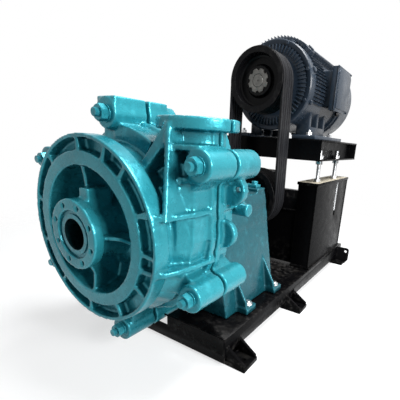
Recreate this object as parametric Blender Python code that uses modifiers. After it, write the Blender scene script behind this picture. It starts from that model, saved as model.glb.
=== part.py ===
# Belt-driven slurry pump on a fabricated base, with its motor carried overhead on jacking studs.
# Metres, +Z up. +X is the discharge side, -Y the suction side, +Y the drive side.
# The origin lies on the floor, under the shaft, midway between the suction face and the base's rear end.

import bpy
import bmesh
from math import sin, cos, pi, radians, atan2
from mathutils import Matrix, Vector

# Driving dimensions: layout
shaft_height = 0.55          # pump shaft above the floor
base_length = 1.62
base_half_width = 0.37
base_height = 0.125
base_set_back = 0.336        # base front edge behind the suction face
rail_bottom = 0.045          # the rails stand on the foot brackets
motor_shaft_height = 1.178
clearance = 0.0004           # between pieces that seat on each other
thread_clearance = 0.001     # round a stud or bolt in its hole

# Pump casing
seam_depth = 0.286           # middle of the parting plane, behind the suction face
seam_gap = 0.012             # open line between the two casing halves
cavity_half_width = 0.096
casing_shift = 0.012         # the drum sits this far towards the discharge
drum_radius = 0.308
waist_radius = 0.284           # drum between the rim band and the spiral
rim_depth = 0.046            # front plane of rim and annulus behind the suction face
rim_wall = 0.012
band_depth = 0.100             # rear edge of the rim band
ledge_heights = (0.285, 0.195, 0.092, -0.078)   # shelves on the discharge side, above the shaft axis
ledge_thickness = 0.016
annulus_radius = 0.258
dish_radius = 0.214
pocket_depth = 0.034
rim_rib_width = 0.014
rim_rib_angles = (94, 68, 49, 21, -5, -33, -64, -97, -131, -164, -195, -231)
seam_flange_radius = 0.355
seam_flange_thickness = 0.026
volute_start_radius = 0.262  # outside of the liner at the tongue
volute_end_radius = 0.325
volute_start_angle = 60
liner_wall = 0.022
casing_wall = 0.016
bulge_wall = 0.010
shoulder_drop = 0.034         # the spiral's front edge slopes in by this much
shoulder_length = 0.040
shoulder_inset = 0.002
liner_top = 0.190            # flat top of the liner beside its outlet pipe, above the shaft axis
suction_flange_radius = 0.1145
suction_flange_thickness = 0.032
suction_holes = 8
suction_hole_circle = 0.095
suction_hole_radius = 0.008
suction_bore = 0.051
throat_tube_radius = 0.0775
dish_web_thickness = 0.013

# Discharge
discharge_x = 0.27
discharge_top = 0.37         # flange face above the shaft axis
discharge_flange_radius = 0.13
discharge_flange_thickness = 0.036
discharge_pipe_radius = 0.086
discharge_liner_radius = 0.055
discharge_bore = 0.038
outlet_start = 0.150         # where the round outlet begins inside the volute
outlet_half_width = 0.059    # of the liner beside the outlet pipe
discharge_holes = 8
discharge_hole_circle = 0.107
discharge_hole_radius = 0.009
neck_left = 0.185
neck_web_thickness = 0.017

# Casing studs and their barrels: angle from +X towards +Z, and distance from the shaft axis
stud_places = ((90, 0.372), (152, 0.430), (210, 0.452), (270, 0.418), (333, 0.392), (32, 0.449))
barrel_radius = 0.048
barrel_front_depth = 0.150
barrel_back_depth = 0.425
stud_radius = 0.0145
stud_front_depth = 0.108
stud_rear_stand_out = 0.004
nut_flat_radius = 0.0235
nut_height = 0.028

# Rotor
impeller_radius = 0.215
impeller_vanes = 5
shroud_thickness = 0.010
impeller_side_gap = 0.006
shaft_radius = 0.030
sleeve_radius = 0.042
journal_radius = 0.0375
plate_thickness = 0.030
liner_opening = 0.190
liner_end_gap = 0.002        # liner pipe below the discharge face
chamber_front = seam_depth - cavity_half_width
chamber_back = seam_depth + cavity_half_width
impeller_front = chamber_front + plate_thickness + impeller_side_gap
impeller_back = chamber_back - plate_thickness - impeller_side_gap
shaft_nose_radius = 0.026
box_bore = 0.0592
box_end_depth = 0.490
sleeve_end_depth = 0.530
gland_depth = 0.498
packing_width = 0.0155
gland_stud_x = 0.094
gland_stud_radius = 0.0065
gland_plate = 0.014

# Bearing assembly and its bracket
bearing_housing_radius = 0.112
bearing_front_depth = 0.560
bearing_back_depth = 0.900
bearing_cover_thickness = 0.024
bearing_outer = 0.080
bearing_width = 0.038
housing_collar = 0.010
cover_bolt_circle = 0.100
cover_bolts = 4
bracket_back_depth = bearing_back_depth - 0.010
bracket_front_plate_depth = 0.452
bracket_plate_thickness = 0.026
bracket_plate_radius = 0.235
bracket_bore = 0.125
bracket_top_half_width = 0.205
bracket_foot_half_width = 0.290
bracket_wall = 0.020
bracket_top = 0.075          # top of the side walls above the shaft axis
foot_thickness = 0.030
foot_reach = 0.345
foot_length = 0.080
foot_bolt_x = 0.318
foot_bolt_offset = 0.008      # bolt behind the middle of its foot
front_foot_depth = 0.540
rear_foot_inset = 0.004       # rear feet ahead of the bracket's rear edge
casing_bolt_radius = 0.010
casing_bolt_length = 0.044
foot_bolt_radius = 0.0105
clamp_bolt_radius = 0.0085
clamp_inset = 0.070           # strap behind the housing's front end
rear_clamp_inset = 0.054
clamp_x = 0.166
plate_bolt_circle = 0.186
plate_bolt_angles = (38, 74, 106, 142)

# Belt drive
groove_count = 5
groove_pitch = 0.0255
groove_edge = 0.017          # pulley end face to the middle of its first groove
pulley_front_depth = 1.073
pump_pulley_radius = 0.168
motor_pulley_radius = 0.160
belt_top_width = 0.022
belt_height = 0.014
belt_stand_out = 0.003       # belt back above the pulley rim
groove_extra = 0.004         # groove floor below the belt
bush_radius = 0.050
bush_notches = 8

# Motor
motor_core_radius = 0.238
fin_height = 0.030
fin_count = 44
fin_thickness = 0.005
motor_front_depth = 1.245    # front of the drive-end shield
motor_frame_front_depth = 1.300
motor_frame_back_depth = 1.850
cowl_back_depth = 2.080
shield_radius = 0.256
motor_shaft_radius = 0.0325
motor_foot_height = 0.282    # shaft above the underside of the feet
motor_foot_x = 0.2285
motor_foot_half_length = 0.2095
rotor_core_radius = 0.096
stator_bore = 0.098
fan_radius = 0.205
cowl_radius = 0.262
cowl_wall = 0.004
cowl_slots = 6
motor_foot_thickness = 0.022
motor_foot_reach = 0.295
motor_foot_margin = 0.075     # of the foot beyond its bolts
end_ring_length = 0.034
terminal_base_x = 0.272
terminal_out_x = 0.302
terminal_front = 1.500
terminal_back = 1.770
terminal_low = 1.075
terminal_high = 1.315
terminal_cover = 0.014
gland_radius = 0.0105
eye_depth = 1.345
eye_angle = 47                # lifting eye on the upper shoulder, from +X towards +Z
eye_seat_height = 0.278
eye_shank_radius = 0.0085
foot_screw_radius = 0.010

# Base frame
rail_flange = 0.066
rail_wall = 0.008
foot_tab_reach = 0.457
foot_tab_thickness = 0.018
foot_tab_spans = ((0.350, 0.450), (0.910, 1.010))
foot_hole_radius = 0.011
cross_member_spans = ((0.500, 0.560), (0.860, 0.920), (1.240, 1.300))
deck_back_depth = 1.270
deck_thickness = 0.008
barrel_notch = 0.012         # free space round the lowest barrel
lug_depth = 1.860
lug_thickness = 0.016

# Motor platform, columns and jacking studs
platform_top_gap = 0.0004
platform_height = 0.116
platform_half_width = 0.350
platform_front_depth = 1.240
platform_back_depth = 2.040
section_wall = 0.009         # web and flanges of the platform channels
section_flange = 0.062
column_outer_x = 0.355
column_width = 0.117
column_front_depth = 1.240
column_back_depth = 1.890
column_top = 0.640           # column head above the floor
column_plate = 0.010
column_head_plate = 0.016
column_foot_plate = 0.012
column_bolt_radius = 0.008
column_bolt_inset = 0.100
slit_width = 0.032            # in the outer plate, in line with the rear jacking stud
slit_low = 0.405
slit_high = 0.622
tie_panel_top = 0.600
tie_panel_flange = 0.050
tie_panel_wall = 0.008
tie_panel_overlap = 0.024     # of its ends behind the columns' front plates
tie_rib_height = 0.478
tie_rib_reach = 0.018
jack_x = 0.318
jack_depths = (column_front_depth + 0.090, column_back_depth - 0.230)
jack_radius = 0.012
jack_nut_flat_radius = 0.018
jack_nut_height = 0.020
jack_low = 0.400              # lower ends of the jacking studs, inside the columns

drum_segments = 28
turn_segments = 20
pipe_segments = 16
rod_segments = 6
shaft_segments = 16
stud_segments = 10

suction_face_y = -cowl_back_depth / 2   # the motor's cowl reaches farthest back
platform_top = motor_shaft_height - motor_foot_height - platform_top_gap
platform_bottom = platform_top - platform_height
pulley_width = 2 * groove_edge + (groove_count - 1) * groove_pitch
pulley_back_depth = pulley_front_depth + pulley_width
shaft_end_depth = pulley_back_depth - 0.020
foot_spans = ((front_foot_depth, front_foot_depth + foot_length),
              (bracket_back_depth - rear_foot_inset - foot_length, bracket_back_depth - rear_foot_inset))
foot_bolt_places = [(side * foot_bolt_x, (y0 + y1) / 2 + foot_bolt_offset)
                    for side in (-1, 1) for y0, y1 in foot_spans]
clamp_depths = (bearing_front_depth + clamp_inset, bearing_back_depth - rear_clamp_inset)
plate_bolt_places = [(plate_bolt_circle * cos(radians(angle)), shaft_height + plate_bolt_circle * sin(radians(angle)))
                     for angle in plate_bolt_angles]


def place(depth):
    """World Y of a distance behind the suction face."""
    return suction_face_y + depth


# Scene, materials and small modelling helpers

for old in list(bpy.data.objects):
    bpy.data.objects.remove(old, do_unlink=True)

parts = bpy.data.collections.new("slurry_pump")
bpy.context.scene.collection.children.link(parts)


def paint(name, colour, roughness, metallic):
    material = bpy.data.materials.new(name)
    material.use_nodes = True
    shader = material.node_tree.nodes["Principled BSDF"]
    shader.inputs["Base Color"].default_value = (*colour, 1.0)
    shader.inputs["Roughness"].default_value = roughness
    shader.inputs["Metallic"].default_value = metallic
    return material


teal = paint("teal_paint", (0.035, 0.39, 0.48), 0.32, 0.0)
black = paint("black_paint", (0.012, 0.012, 0.014), 0.35, 0.0)
motor_grey = paint("motor_grey", (0.075, 0.095, 0.125), 0.40, 0.0)
cast_iron = paint("cast_iron", (0.06, 0.06, 0.065), 0.60, 0.8)
steel = paint("bright_steel", (0.55, 0.55, 0.56), 0.30, 1.0)
zinc = paint("zinc_plate", (0.68, 0.68, 0.66), 0.35, 1.0)
rubber = paint("belt_rubber", (0.02, 0.02, 0.022), 0.70, 0.0)
packing_fibre = paint("packing_fibre", (0.20, 0.18, 0.14), 0.90, 0.0)
brass = paint("brass", (0.60, 0.42, 0.16), 0.35, 1.0)


def anchor(name, x, depth, z):
    """Empty on a joint's axis, which carries the pieces of one moving body."""
    empty = bpy.data.objects.new(name, None)
    empty.location = (x, place(depth), z)
    empty.hide_render = True
    parts.objects.link(empty)
    return empty


def new_object(name, bm):
    mesh = bpy.data.meshes.new(name)
    bm.to_mesh(mesh)
    bm.free()
    obj = bpy.data.objects.new(name, mesh)
    parts.objects.link(obj)
    return obj


def box(x0, x1, y0, y1, z0, z1, name="box"):
    bm = bmesh.new()
    size = Matrix.Diagonal((x1 - x0, y1 - y0, z1 - z0, 1.0))
    centre = Matrix.Translation(((x0 + x1) / 2, (y0 + y1) / 2, (z0 + z1) / 2))
    bmesh.ops.create_cube(bm, size=1.0, matrix=centre @ size)
    return new_object(name, bm)


axis_turns = {"X": Matrix.Rotation(pi / 2, 4, "Y"), "Y": Matrix.Rotation(-pi / 2, 4, "X"),
              "Z": Matrix.Identity(4)}


def rod(start, axis, length, radius, segments=rod_segments, end_radius=None, turn=0.0, name="rod"):
    """Cylinder or cone from a start point along one world axis."""
    bm = bmesh.new()
    far = radius if end_radius is None else end_radius
    lift = Matrix.Translation((0, 0, length / 2))
    spin = Matrix.Rotation(turn, 4, "Z")
    bmesh.ops.create_cone(bm, cap_ends=True, segments=segments, radius1=radius, radius2=far, depth=length,
                          matrix=Matrix.Translation(start) @ axis_turns[axis] @ spin @ lift)
    return new_object(name, bm)


def drill(start, axis, length, radius, segments=rod_segments):
    """Cutter whose flats lie on the given radius, so that a round piece of any facet count passes."""
    return rod(start, axis, length, radius / cos(pi / segments), segments)


def bore_round(radius, segments):
    """Radius of a turned bore whose flats clear a round piece by the seating clearance."""
    return (radius + clearance) / cos(pi / segments)


def hex_prism(start, axis, height, flat_radius, name="hex"):
    return rod(start, axis, height, flat_radius / cos(pi / 6), 6, name=name)


def clean_copy(obj, name):
    """Mesh object made from an object as it evaluates, with its loose caps welded."""
    graph = bpy.context.evaluated_depsgraph_get()
    mesh = bpy.data.meshes.new_from_object(obj.evaluated_get(graph))
    bm = bmesh.new()
    bm.from_mesh(mesh)
    bmesh.ops.remove_doubles(bm, verts=bm.verts, dist=0.00002)
    bmesh.ops.recalc_face_normals(bm, faces=bm.faces)
    bm.to_mesh(mesh)
    bm.free()
    copy = bpy.data.objects.new(name, mesh)
    copy.matrix_world = obj.matrix_world.copy()
    parts.objects.link(copy)
    bpy.data.objects.remove(obj, do_unlink=True)
    return copy


def turned(outline, x, z, segments=turn_segments, name="turned"):
    """Solid of revolution about the line X = x, Z = z. The outline is a loop of (radius, depth)."""
    bm = bmesh.new()
    corners = [bm.verts.new((radius, 0, place(depth))) for radius, depth in outline]
    closed = min(radius for radius, depth in outline) > 0
    for first, second in zip(corners, corners[1:] + corners[:1] if closed else corners[1:]):
        bm.edges.new((first, second))
    obj = new_object(name, bm)
    screw = obj.modifiers.new("turn", "SCREW")
    screw.axis = "Z"
    screw.steps = segments
    screw.render_steps = segments
    screw.use_merge_vertices = True
    screw.merge_threshold = 0.00001
    obj.rotation_euler = (-pi / 2, 0, 0)
    obj.location = (x, 0, z)
    bpy.context.view_layer.update()
    return clean_copy(obj, name)


plane_turns = {"XZ": (pi / 2, 0, 0), "XY": (0, 0, 0), "YZ": (pi / 2, 0, pi / 2)}


def extruded(outline, plane, low, high, holes=(), name="plate"):
    """Flat outline in one world plane, given its thickness along the third axis."""
    curve = bpy.data.curves.new(name, "CURVE")
    curve.dimensions = "2D"
    curve.fill_mode = "BOTH"
    curve.extrude = (high - low) / 2
    for loop in (outline, *holes):
        spline = curve.splines.new("POLY")
        spline.points.add(len(loop) - 1)
        for point, (a, b) in zip(spline.points, loop):
            point.co = (a, b, 0, 1)
        spline.use_cyclic_u = True
    obj = bpy.data.objects.new(name, curve)
    parts.objects.link(obj)
    obj.rotation_euler = plane_turns[plane]
    middle = (low + high) / 2
    obj.location = {"XZ": (0, middle, 0), "XY": (0, 0, middle), "YZ": (middle, 0, 0)}[plane]
    bpy.context.view_layer.update()
    return clean_copy(obj, name)


def loft(outline, far_outline, name="loft"):
    """Solid between two flat outlines that have the same number of points."""
    bm = bmesh.new()
    near = [bm.verts.new(point) for point in outline]
    far = [bm.verts.new(point) for point in far_outline]
    for index in range(len(near)):
        following = (index + 1) % len(near)
        bm.faces.new((near[index], near[following], far[following], far[index]))
    bm.faces.new(near)
    bm.faces.new(far)
    bmesh.ops.recalc_face_normals(bm, faces=bm.faces)
    return new_object(name, bm)


def boolean(target, operation, others):
    for other in others:
        step = target.modifiers.new(operation.lower(), "BOOLEAN")
        step.operation = operation
        step.solver = "EXACT"
        step.object = other
        bpy.context.view_layer.update()
        graph = bpy.context.evaluated_depsgraph_get()
        mesh = bpy.data.meshes.new_from_object(target.evaluated_get(graph))
        target.modifiers.clear()
        target.data = mesh
        bpy.data.objects.remove(other, do_unlink=True)
    return target


def unite(target, *others):
    return boolean(target, "UNION", others)


def cut(target, *others):
    return boolean(target, "DIFFERENCE", others)


def turn_about(obj, angle, x, z):
    """Turn a piece about a line along Y."""
    bpy.context.view_layer.update()
    spin = Matrix.Translation((x, 0, z)) @ Matrix.Rotation(-angle, 4, "Y") @ Matrix.Translation((-x, 0, -z))
    obj.matrix_world = spin @ obj.matrix_world
    bpy.context.view_layer.update()
    return obj


def finish(obj, name, material, parent=None):
    """Tidy one sub-part: flat faces merged, name, material, shading and its parent."""
    bm = bmesh.new()
    bm.from_mesh(obj.data)
    bmesh.ops.dissolve_degenerate(bm, dist=0.00001, edges=bm.edges)
    bmesh.ops.dissolve_limit(bm, angle_limit=radians(0.05), verts=bm.verts, edges=bm.edges)
    bmesh.ops.triangulate(bm, faces=bm.faces)
    bm.to_mesh(obj.data)
    bm.free()
    obj.name = name
    obj.data.name = name
    obj.data.materials.clear()
    obj.data.materials.append(material)
    obj.data.shade_smooth()
    obj.data.set_sharp_from_angle(angle=radians(32))
    if parent:
        world = obj.matrix_world.copy()
        obj.parent = parent
        obj.matrix_parent_inverse = Matrix.Identity(4)
        obj.matrix_basis = parent.matrix_world.inverted() @ world
    return obj


def arc(x, z, radius, start, stop, steps):
    """Points of a round stretch, angles in degrees from +X towards +Z."""
    turns = [radians(start + (stop - start) * step / steps) for step in range(steps + 1)]
    return [(x + radius * cos(turn), z + radius * sin(turn)) for turn in turns]


def bolt(x, y, z, axis, flat_radius, head, radius, length):
    """Hexagon-headed bolt: head on the start side, shank along the axis."""
    direction = {"X": Vector((1, 0, 0)), "Y": Vector((0, 1, 0)), "Z": Vector((0, 0, 1))}[axis]
    start = Vector((x, y, z))
    sign = 1 if length > 0 else -1
    if sign > 0:
        top = hex_prism(start - direction * head, axis, head, flat_radius)
        shank = rod(start - direction * head / 2, axis, length + head / 2, radius, 6)
    else:
        top = hex_prism(start, axis, head, flat_radius)
        shank = rod(start + direction * length, axis, -length + head / 2, radius, 6)
    return unite(top, shank)


# Casing

def volute_radius(angle):
    share = (angle - volute_start_angle) / (360 - volute_start_angle)
    return volute_start_radius + (volute_end_radius - volute_start_radius) * share


def volute_outline(offset, pipe_half_width, top):
    """Spiral from the tongue round to the discharge side, then up both sides of the outlet."""
    turn_points = 14
    points = []
    for step in range(turn_points + 1):
        angle = volute_start_angle + (360 - volute_start_angle) * step / turn_points
        radius = volute_radius(angle) + offset
        points.append((radius * cos(radians(angle)), shaft_height + radius * sin(radians(angle))))
    right = discharge_x + pipe_half_width
    left = discharge_x - pipe_half_width
    return points + [(right, shaft_height + top), (left, shaft_height + top)]


stud_centres = [(distance * cos(radians(angle)), shaft_height + distance * sin(radians(angle)))
                for angle, distance in stud_places]
corner_stud = stud_centres[5]
seam_faces = {"front": seam_depth - seam_gap / 2, "rear": seam_depth + seam_gap / 2}


def face_box(side):
    """Block that covers everything beyond the parting face of one casing half."""
    reach = 1.0
    if side == "front":
        return box(-reach, reach, place(seam_faces["front"]), place(reach), -reach, 2 * reach)
    return box(-reach, reach, place(-reach), place(seam_faces["rear"]), -reach, 2 * reach)


def span(side, depth, sink=0.020):
    """World Y range from a depth to a little past the seam, mirrored for the rear half."""
    if side == "front":
        return place(depth), place(seam_depth + sink)
    return place(seam_depth - sink), place(2 * seam_depth - depth)


def drum(side):
    """Turned body of one casing half."""
    back = seam_depth
    if side == "front":
        pocket_floor = rim_depth + pocket_depth
        hub = turned([(suction_flange_radius, 0), (suction_flange_radius, suction_flange_thickness),
                      (0.090, 0.040), (0.086, 0.105), (0.100, 0.148), (0.140, 0.162), (0.186, 0.150),
                      (0.208, 0.100), (dish_radius, rim_depth), (annulus_radius, rim_depth),
                      (annulus_radius, back), (0.060, back), (0.060, 0)], 0, shaft_height, drum_segments)
        spiral_front = chamber_front - bulge_wall
        ring_bore = (dish_radius + annulus_radius) / 2
        ring = turned([(drum_radius, rim_depth), (drum_radius, band_depth), (waist_radius, band_depth + 0.012),
                       (waist_radius, spiral_front - 0.014), (drum_radius, spiral_front + 0.004),
                       (drum_radius + 0.008, back), (ring_bore, back), (ring_bore, pocket_floor),
                       (drum_radius - rim_wall, pocket_floor), (drum_radius - rim_wall, rim_depth)],
                      casing_shift, shaft_height, drum_segments)
        return unite(ring, hub)
    wall_back = bracket_front_plate_depth - clearance
    return turned([(drum_radius + 0.008, back), (drum_radius, 0.400), (drum_radius - 0.018, 0.432),
                   (0.250, 0.436), (0.236, wall_back), (bracket_bore + 0.004, wall_back),
                   (bracket_bore + 0.004, back)], casing_shift / 2, shaft_height, drum_segments)


def rim_ribs():
    ribs = []
    for angle in rim_rib_angles:
        rib = box(annulus_radius - 0.020, drum_radius - rim_wall / 2, place(rim_depth + 0.002),
                  place(rim_depth + pocket_depth + 0.01), shaft_height - rim_rib_width / 2,
                  shaft_height + rim_rib_width / 2)
        ribs.append(turn_about(rib, radians(angle), 0, shaft_height))
        ribs[-1].location.x += casing_shift * 0.7
    return ribs


def dish_webs():
    """Four webs from the suction neck across the dish, and a block on the upper one behind the flange."""
    webs = []
    root = dish_radius + 0.006
    outline = [(0.080, 0.038), (0.108, 0.040), (0.150, 0.060), (root, rim_depth + 0.006), (root, 0.170),
               (0.080, 0.170)]
    for turn in (0, 90, 180, 270):
        web = extruded([(radius, shaft_height + place(depth)) for radius, depth in outline], "XY",
                       -dish_web_thickness / 2, dish_web_thickness / 2)
        web.location.y -= shaft_height
        web.location.z += shaft_height
        webs.append(turn_about(web, radians(turn), 0, shaft_height))
    pad = box(0.0, 0.044, place(0.036), place(0.120), shaft_height + 0.060, shaft_height + 0.146)
    return webs + [pad]


def seam_flange(side):
    """Flat lip along the parting line: round below, straight up the discharge side."""
    radius = seam_flange_radius
    top = shaft_height + discharge_top - 0.010
    outline = arc(0, shaft_height, radius, 68, 360, 19)
    outline += [(radius, top), (neck_left, top), (neck_left, shaft_height + 0.33)]
    edge = seam_faces["front"] - seam_flange_thickness
    low, high = span(side, edge, 0.023)
    return extruded(outline, "XZ", low, high)


def volute_bulge(side):
    """Body that follows the spiral liner outside the drum, with a sloping shoulder towards the rim band."""
    front = chamber_front - bulge_wall
    outline = volute_outline(casing_wall, outlet_half_width + casing_wall, liner_top + bulge_wall)
    low, high = span(side, front)
    body = extruded(outline, "XZ", low, high)
    if side == "rear":
        return [body]
    narrow, wide = [volute_outline(casing_wall - drop, outlet_half_width + casing_wall - drop,
                                   liner_top + bulge_wall - drop) for drop in (shoulder_drop, shoulder_inset)]
    tip = front - shoulder_length
    root = front + 0.003
    shoulder = loft([(x, place(tip), z) for x, z in narrow], [(x, place(root), z) for x, z in wide])
    middle = (tip + root) / 2
    cut(shoulder, rod((0, place(middle - 0.1), shaft_height), "Y", 0.2, annulus_radius - 0.015, 18))
    return [body, shoulder]


def discharge_neck(side):
    centre = (discharge_x, place(seam_depth), shaft_height)
    pipe = rod(centre, "Z", discharge_top - 0.01, discharge_pipe_radius, pipe_segments)
    flange_bottom = shaft_height + discharge_top - discharge_flange_thickness
    flange = rod((discharge_x, place(seam_depth), flange_bottom), "Z", discharge_flange_thickness,
                 discharge_flange_radius, 22)
    return [pipe, flange]


def barrels(side):
    """Long round bosses that carry the casing studs, each with a web to the drum."""
    pieces = []
    for (angle, distance), (x, z) in zip(stud_places, stud_centres):
        low, high = span(side, barrel_front_depth, 0.027)
        if side == "rear":
            high = place(barrel_back_depth)
        pieces.append(rod((x, low, z), "Y", high - low, barrel_radius, 12, turn=radians(15)))
        web_low, web_high = span(side, barrel_front_depth + 0.022, 0.031)
        half = barrel_radius * 0.80
        inner = drum_radius - 0.04
        web = extruded([(inner, -half * 1.35), (distance, -half), (distance, half), (inner, half * 1.35)],
                       "XZ", web_low, web_high)
        web.location.z += shaft_height
        pieces.append(turn_about(web, radians(angle), 0, shaft_height))
    return pieces


def top_lug(side):
    """Square head of the top barrel, which stands level with the lifting tackle."""
    x, z = stud_centres[0]
    low, high = span(side, barrel_front_depth + 0.004, 0.035)
    if side == "rear":
        high = place(barrel_back_depth - 0.045)
    half = barrel_radius * 0.92
    return box(x - half, x + half, low, high, z, z + barrel_radius + 0.004)


def side_ledges(side):
    """Shelves from the rim back to the seam lip on the discharge side."""
    pieces = []
    for height in ledge_heights if side == "front" else ledge_heights[1:3]:
        if height > 0.15:
            loop = [(0.20, 0.30), (0.262, 0.142), (corner_stud[0], 0.160), (corner_stud[0] + 0.002, 0.30)]
        else:
            rim_x = casing_shift + (drum_radius ** 2 - height ** 2) ** 0.5
            lip_x = seam_flange_radius - 0.001
            loop = [(0.22, 0.30), (0.24, rim_depth + 0.006), (rim_x - 0.004, rim_depth + 0.006),
                    (rim_x + 0.016, rim_depth + 0.028), (rim_x + 0.031, rim_depth + 0.070), (lip_x - 0.004, 0.180),
                    (lip_x, 0.230), (lip_x, 0.30)]
        if side == "rear":
            loop = [(x, 2 * seam_depth - depth) for x, depth in loop]
            loop = [(x, min(depth, 0.43)) for x, depth in loop]
        points = [(x, place(depth)) for x, depth in loop]
        middle = shaft_height + height
        pieces.append(extruded(points, "XY", middle - ledge_thickness / 2, middle + ledge_thickness / 2))
    return pieces


def neck_webs(side):
    """Tall leaning web and slanting web that carry the discharge flange from the rim, both cut back to one face."""
    top = shaft_height + discharge_top - 0.02
    knee = shaft_height + ledge_heights[2]
    half = neck_web_thickness / 2
    foot_x = casing_shift + drum_radius + 0.004
    tall = extruded([(foot_x - half, knee - 0.010), (foot_x + half, knee - 0.010), (discharge_x + half, top),
                     (discharge_x - half, top)], "XZ", place(0.05), place(0.30))
    slant = extruded([(0.186, shaft_height + 0.232), (0.204, shaft_height + 0.208), (discharge_x + half, top - 0.044),
                      (discharge_x + half, top), (discharge_x - half - 0.004, top)], "XZ", place(0.05), place(0.30))
    face = [(0.070, knee - 0.02), (0.150, top + 0.002), (0.290, top + 0.002), (0.290, knee - 0.02)]
    if side == "rear":
        face = [(2 * seam_depth - depth, z) for depth, z in face]
        for web in (tall, slant):
            web.location.y += 2 * (seam_depth - 0.175)
    for web, set_back in ((tall, 0), (slant, 0.004)):
        bpy.context.view_layer.update()
        step = set_back if side == "front" else -set_back
        limit = extruded([(place(depth + step), z) for depth, z in face], "YZ", 0.15, 0.36)
        boolean(web, "INTERSECT", [limit])
    return [tall, slant]


def crown_shelf(side):
    """Curved ridge between the top barrel and the slanting shelf."""
    low, high = span(side, 0.170, 0.039)
    outer = arc(0.0, shaft_height, 0.344, 88, 58, 5)
    inner = arc(0.0, shaft_height, 0.300, 58, 88, 5)
    return extruded(outer + inner, "XZ", low, high)


def rear_ears():
    """Cast ears behind the seam: a drilled ear and a round one on the discharge side."""
    high_ear = rod((0.372, place(0.330), shaft_height + 0.155), "Y", 0.030, 0.052, 16)
    high_hole = rod((0.398, place(0.320), shaft_height + 0.160), "Y", 0.060, 0.011, 10)
    round_ear = rod((0.352, place(0.318), shaft_height + 0.005), "Y", 0.026, 0.050, 16)
    spigot = rod((0.300, place(0.430), shaft_height + 0.075), "X", 0.090, 0.024, 14)
    return [high_ear, round_ear, spigot], [high_hole]


def casing_half(side, name):
    """One half of the split casing, drilled and hollowed for the liners."""
    body = drum(side)
    unite(body, *volute_bulge(side))
    unite(body, seam_flange(side))
    unite(body, *discharge_neck(side))
    unite(body, *barrels(side))
    unite(body, top_lug(side))
    unite(body, *side_ledges(side))
    unite(body, *neck_webs(side))
    unite(body, crown_shelf(side))
    drills = []
    if side == "front":
        unite(body, *rim_ribs())
        unite(body, *dish_webs())
        for step in range(suction_holes):
            angle = 2 * pi * (step + 0.5) / suction_holes
            x = suction_hole_circle * cos(angle)
            z = shaft_height + suction_hole_circle * sin(angle)
            drills.append(rod((x, place(-0.01), z), "Y", suction_flange_thickness + 0.02, suction_hole_radius))
        bore_length = seam_depth + 0.01
        drills.append(rod((0, place(-0.01), shaft_height), "Y", bore_length,
                          throat_tube_radius + clearance, drum_segments))
        drills.append(rod((0.368, place(0.205), shaft_height - 0.078), "X", -0.08, 0.008, 10))
    else:
        ears, ear_holes = rear_ears()
        unite(body, *ears)
        drills += ear_holes
        drills.append(rod((0, place(0.2), shaft_height), "Y", 0.4, bracket_bore - clearance, drum_segments))
        hole_start = bracket_front_plate_depth + bracket_plate_thickness - casing_bolt_length - 0.004
        for x, z in plate_bolt_places:
            drills.append(drill((x, place(hole_start), z), "Y", 0.1, casing_bolt_radius + thread_clearance))
    cut(body, face_box(side))
    cavity = extruded(volute_outline(clearance, outlet_half_width + clearance, liner_top + clearance), "XZ",
                      place(seam_depth - cavity_half_width), place(seam_depth + cavity_half_width))
    outlet = rod((discharge_x, place(seam_depth), shaft_height + outlet_start), "Z", discharge_top,
                 discharge_liner_radius + clearance, pipe_segments)
    cut(body, cavity, outlet)
    for x, z in stud_centres:
        drills.append(drill((x, place(0.05), z), "Y", 0.5, stud_radius + thread_clearance))
    for step in range(discharge_holes):
        angle = 2 * pi * (step + 0.5) / discharge_holes
        x = discharge_x + discharge_hole_circle * cos(angle)
        y = place(seam_depth) + discharge_hole_circle * sin(angle)
        z = shaft_height + discharge_top - discharge_flange_thickness - 0.005
        drills.append(rod((x, y, z), "Z", discharge_flange_thickness + 0.01, discharge_hole_radius))
    cut(body, *drills)
    return finish(body, name, teal)



# Wet end: liners, impeller, shaft seal



def volute_liner():
    low = place(chamber_front) + clearance
    high = place(chamber_back) - clearance
    body = extruded(volute_outline(0, outlet_half_width, liner_top), "XZ", low, high)
    pipe_height = discharge_top - liner_end_gap - outlet_start
    pipe = rod((discharge_x, place(seam_depth), shaft_height + outlet_start), "Z", pipe_height,
               discharge_liner_radius, pipe_segments)
    unite(body, pipe)
    hollow = extruded(volute_outline(-liner_wall, outlet_half_width - liner_wall, liner_top - liner_wall), "XZ",
                      place(chamber_front + plate_thickness), place(chamber_back - plate_thickness))
    bore = rod((discharge_x, place(seam_depth), shaft_height + outlet_start - liner_wall), "Z", discharge_top,
               discharge_bore, pipe_segments)
    eye = rod((0, place(chamber_front - 0.05), shaft_height), "Y", 0.4, liner_opening, drum_segments)
    cut(body, hollow, bore, eye)
    return finish(body, "volute_liner", cast_iron)


def throat_bush():
    rim = liner_opening - clearance
    face = chamber_front + clearance
    lip = 0.005
    body = turned([(suction_bore, lip), (0.066, lip), (0.067, lip + 0.004), (throat_tube_radius, lip + 0.004),
                   (throat_tube_radius, face), (rim, face), (rim, face + plate_thickness - 2 * clearance),
                   (suction_bore, face + plate_thickness - 2 * clearance)], 0, shaft_height, drum_segments)
    return finish(body, "throat_bush", cast_iron)


def back_liner():
    rim = liner_opening - clearance
    back = chamber_back - clearance
    hole = 0.060
    body = turned([(hole, back - plate_thickness + clearance), (rim, back - plate_thickness + clearance),
                   (rim, back), (hole, back)], 0, shaft_height, drum_segments)
    return finish(body, "frame_plate_liner", cast_iron)


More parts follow.
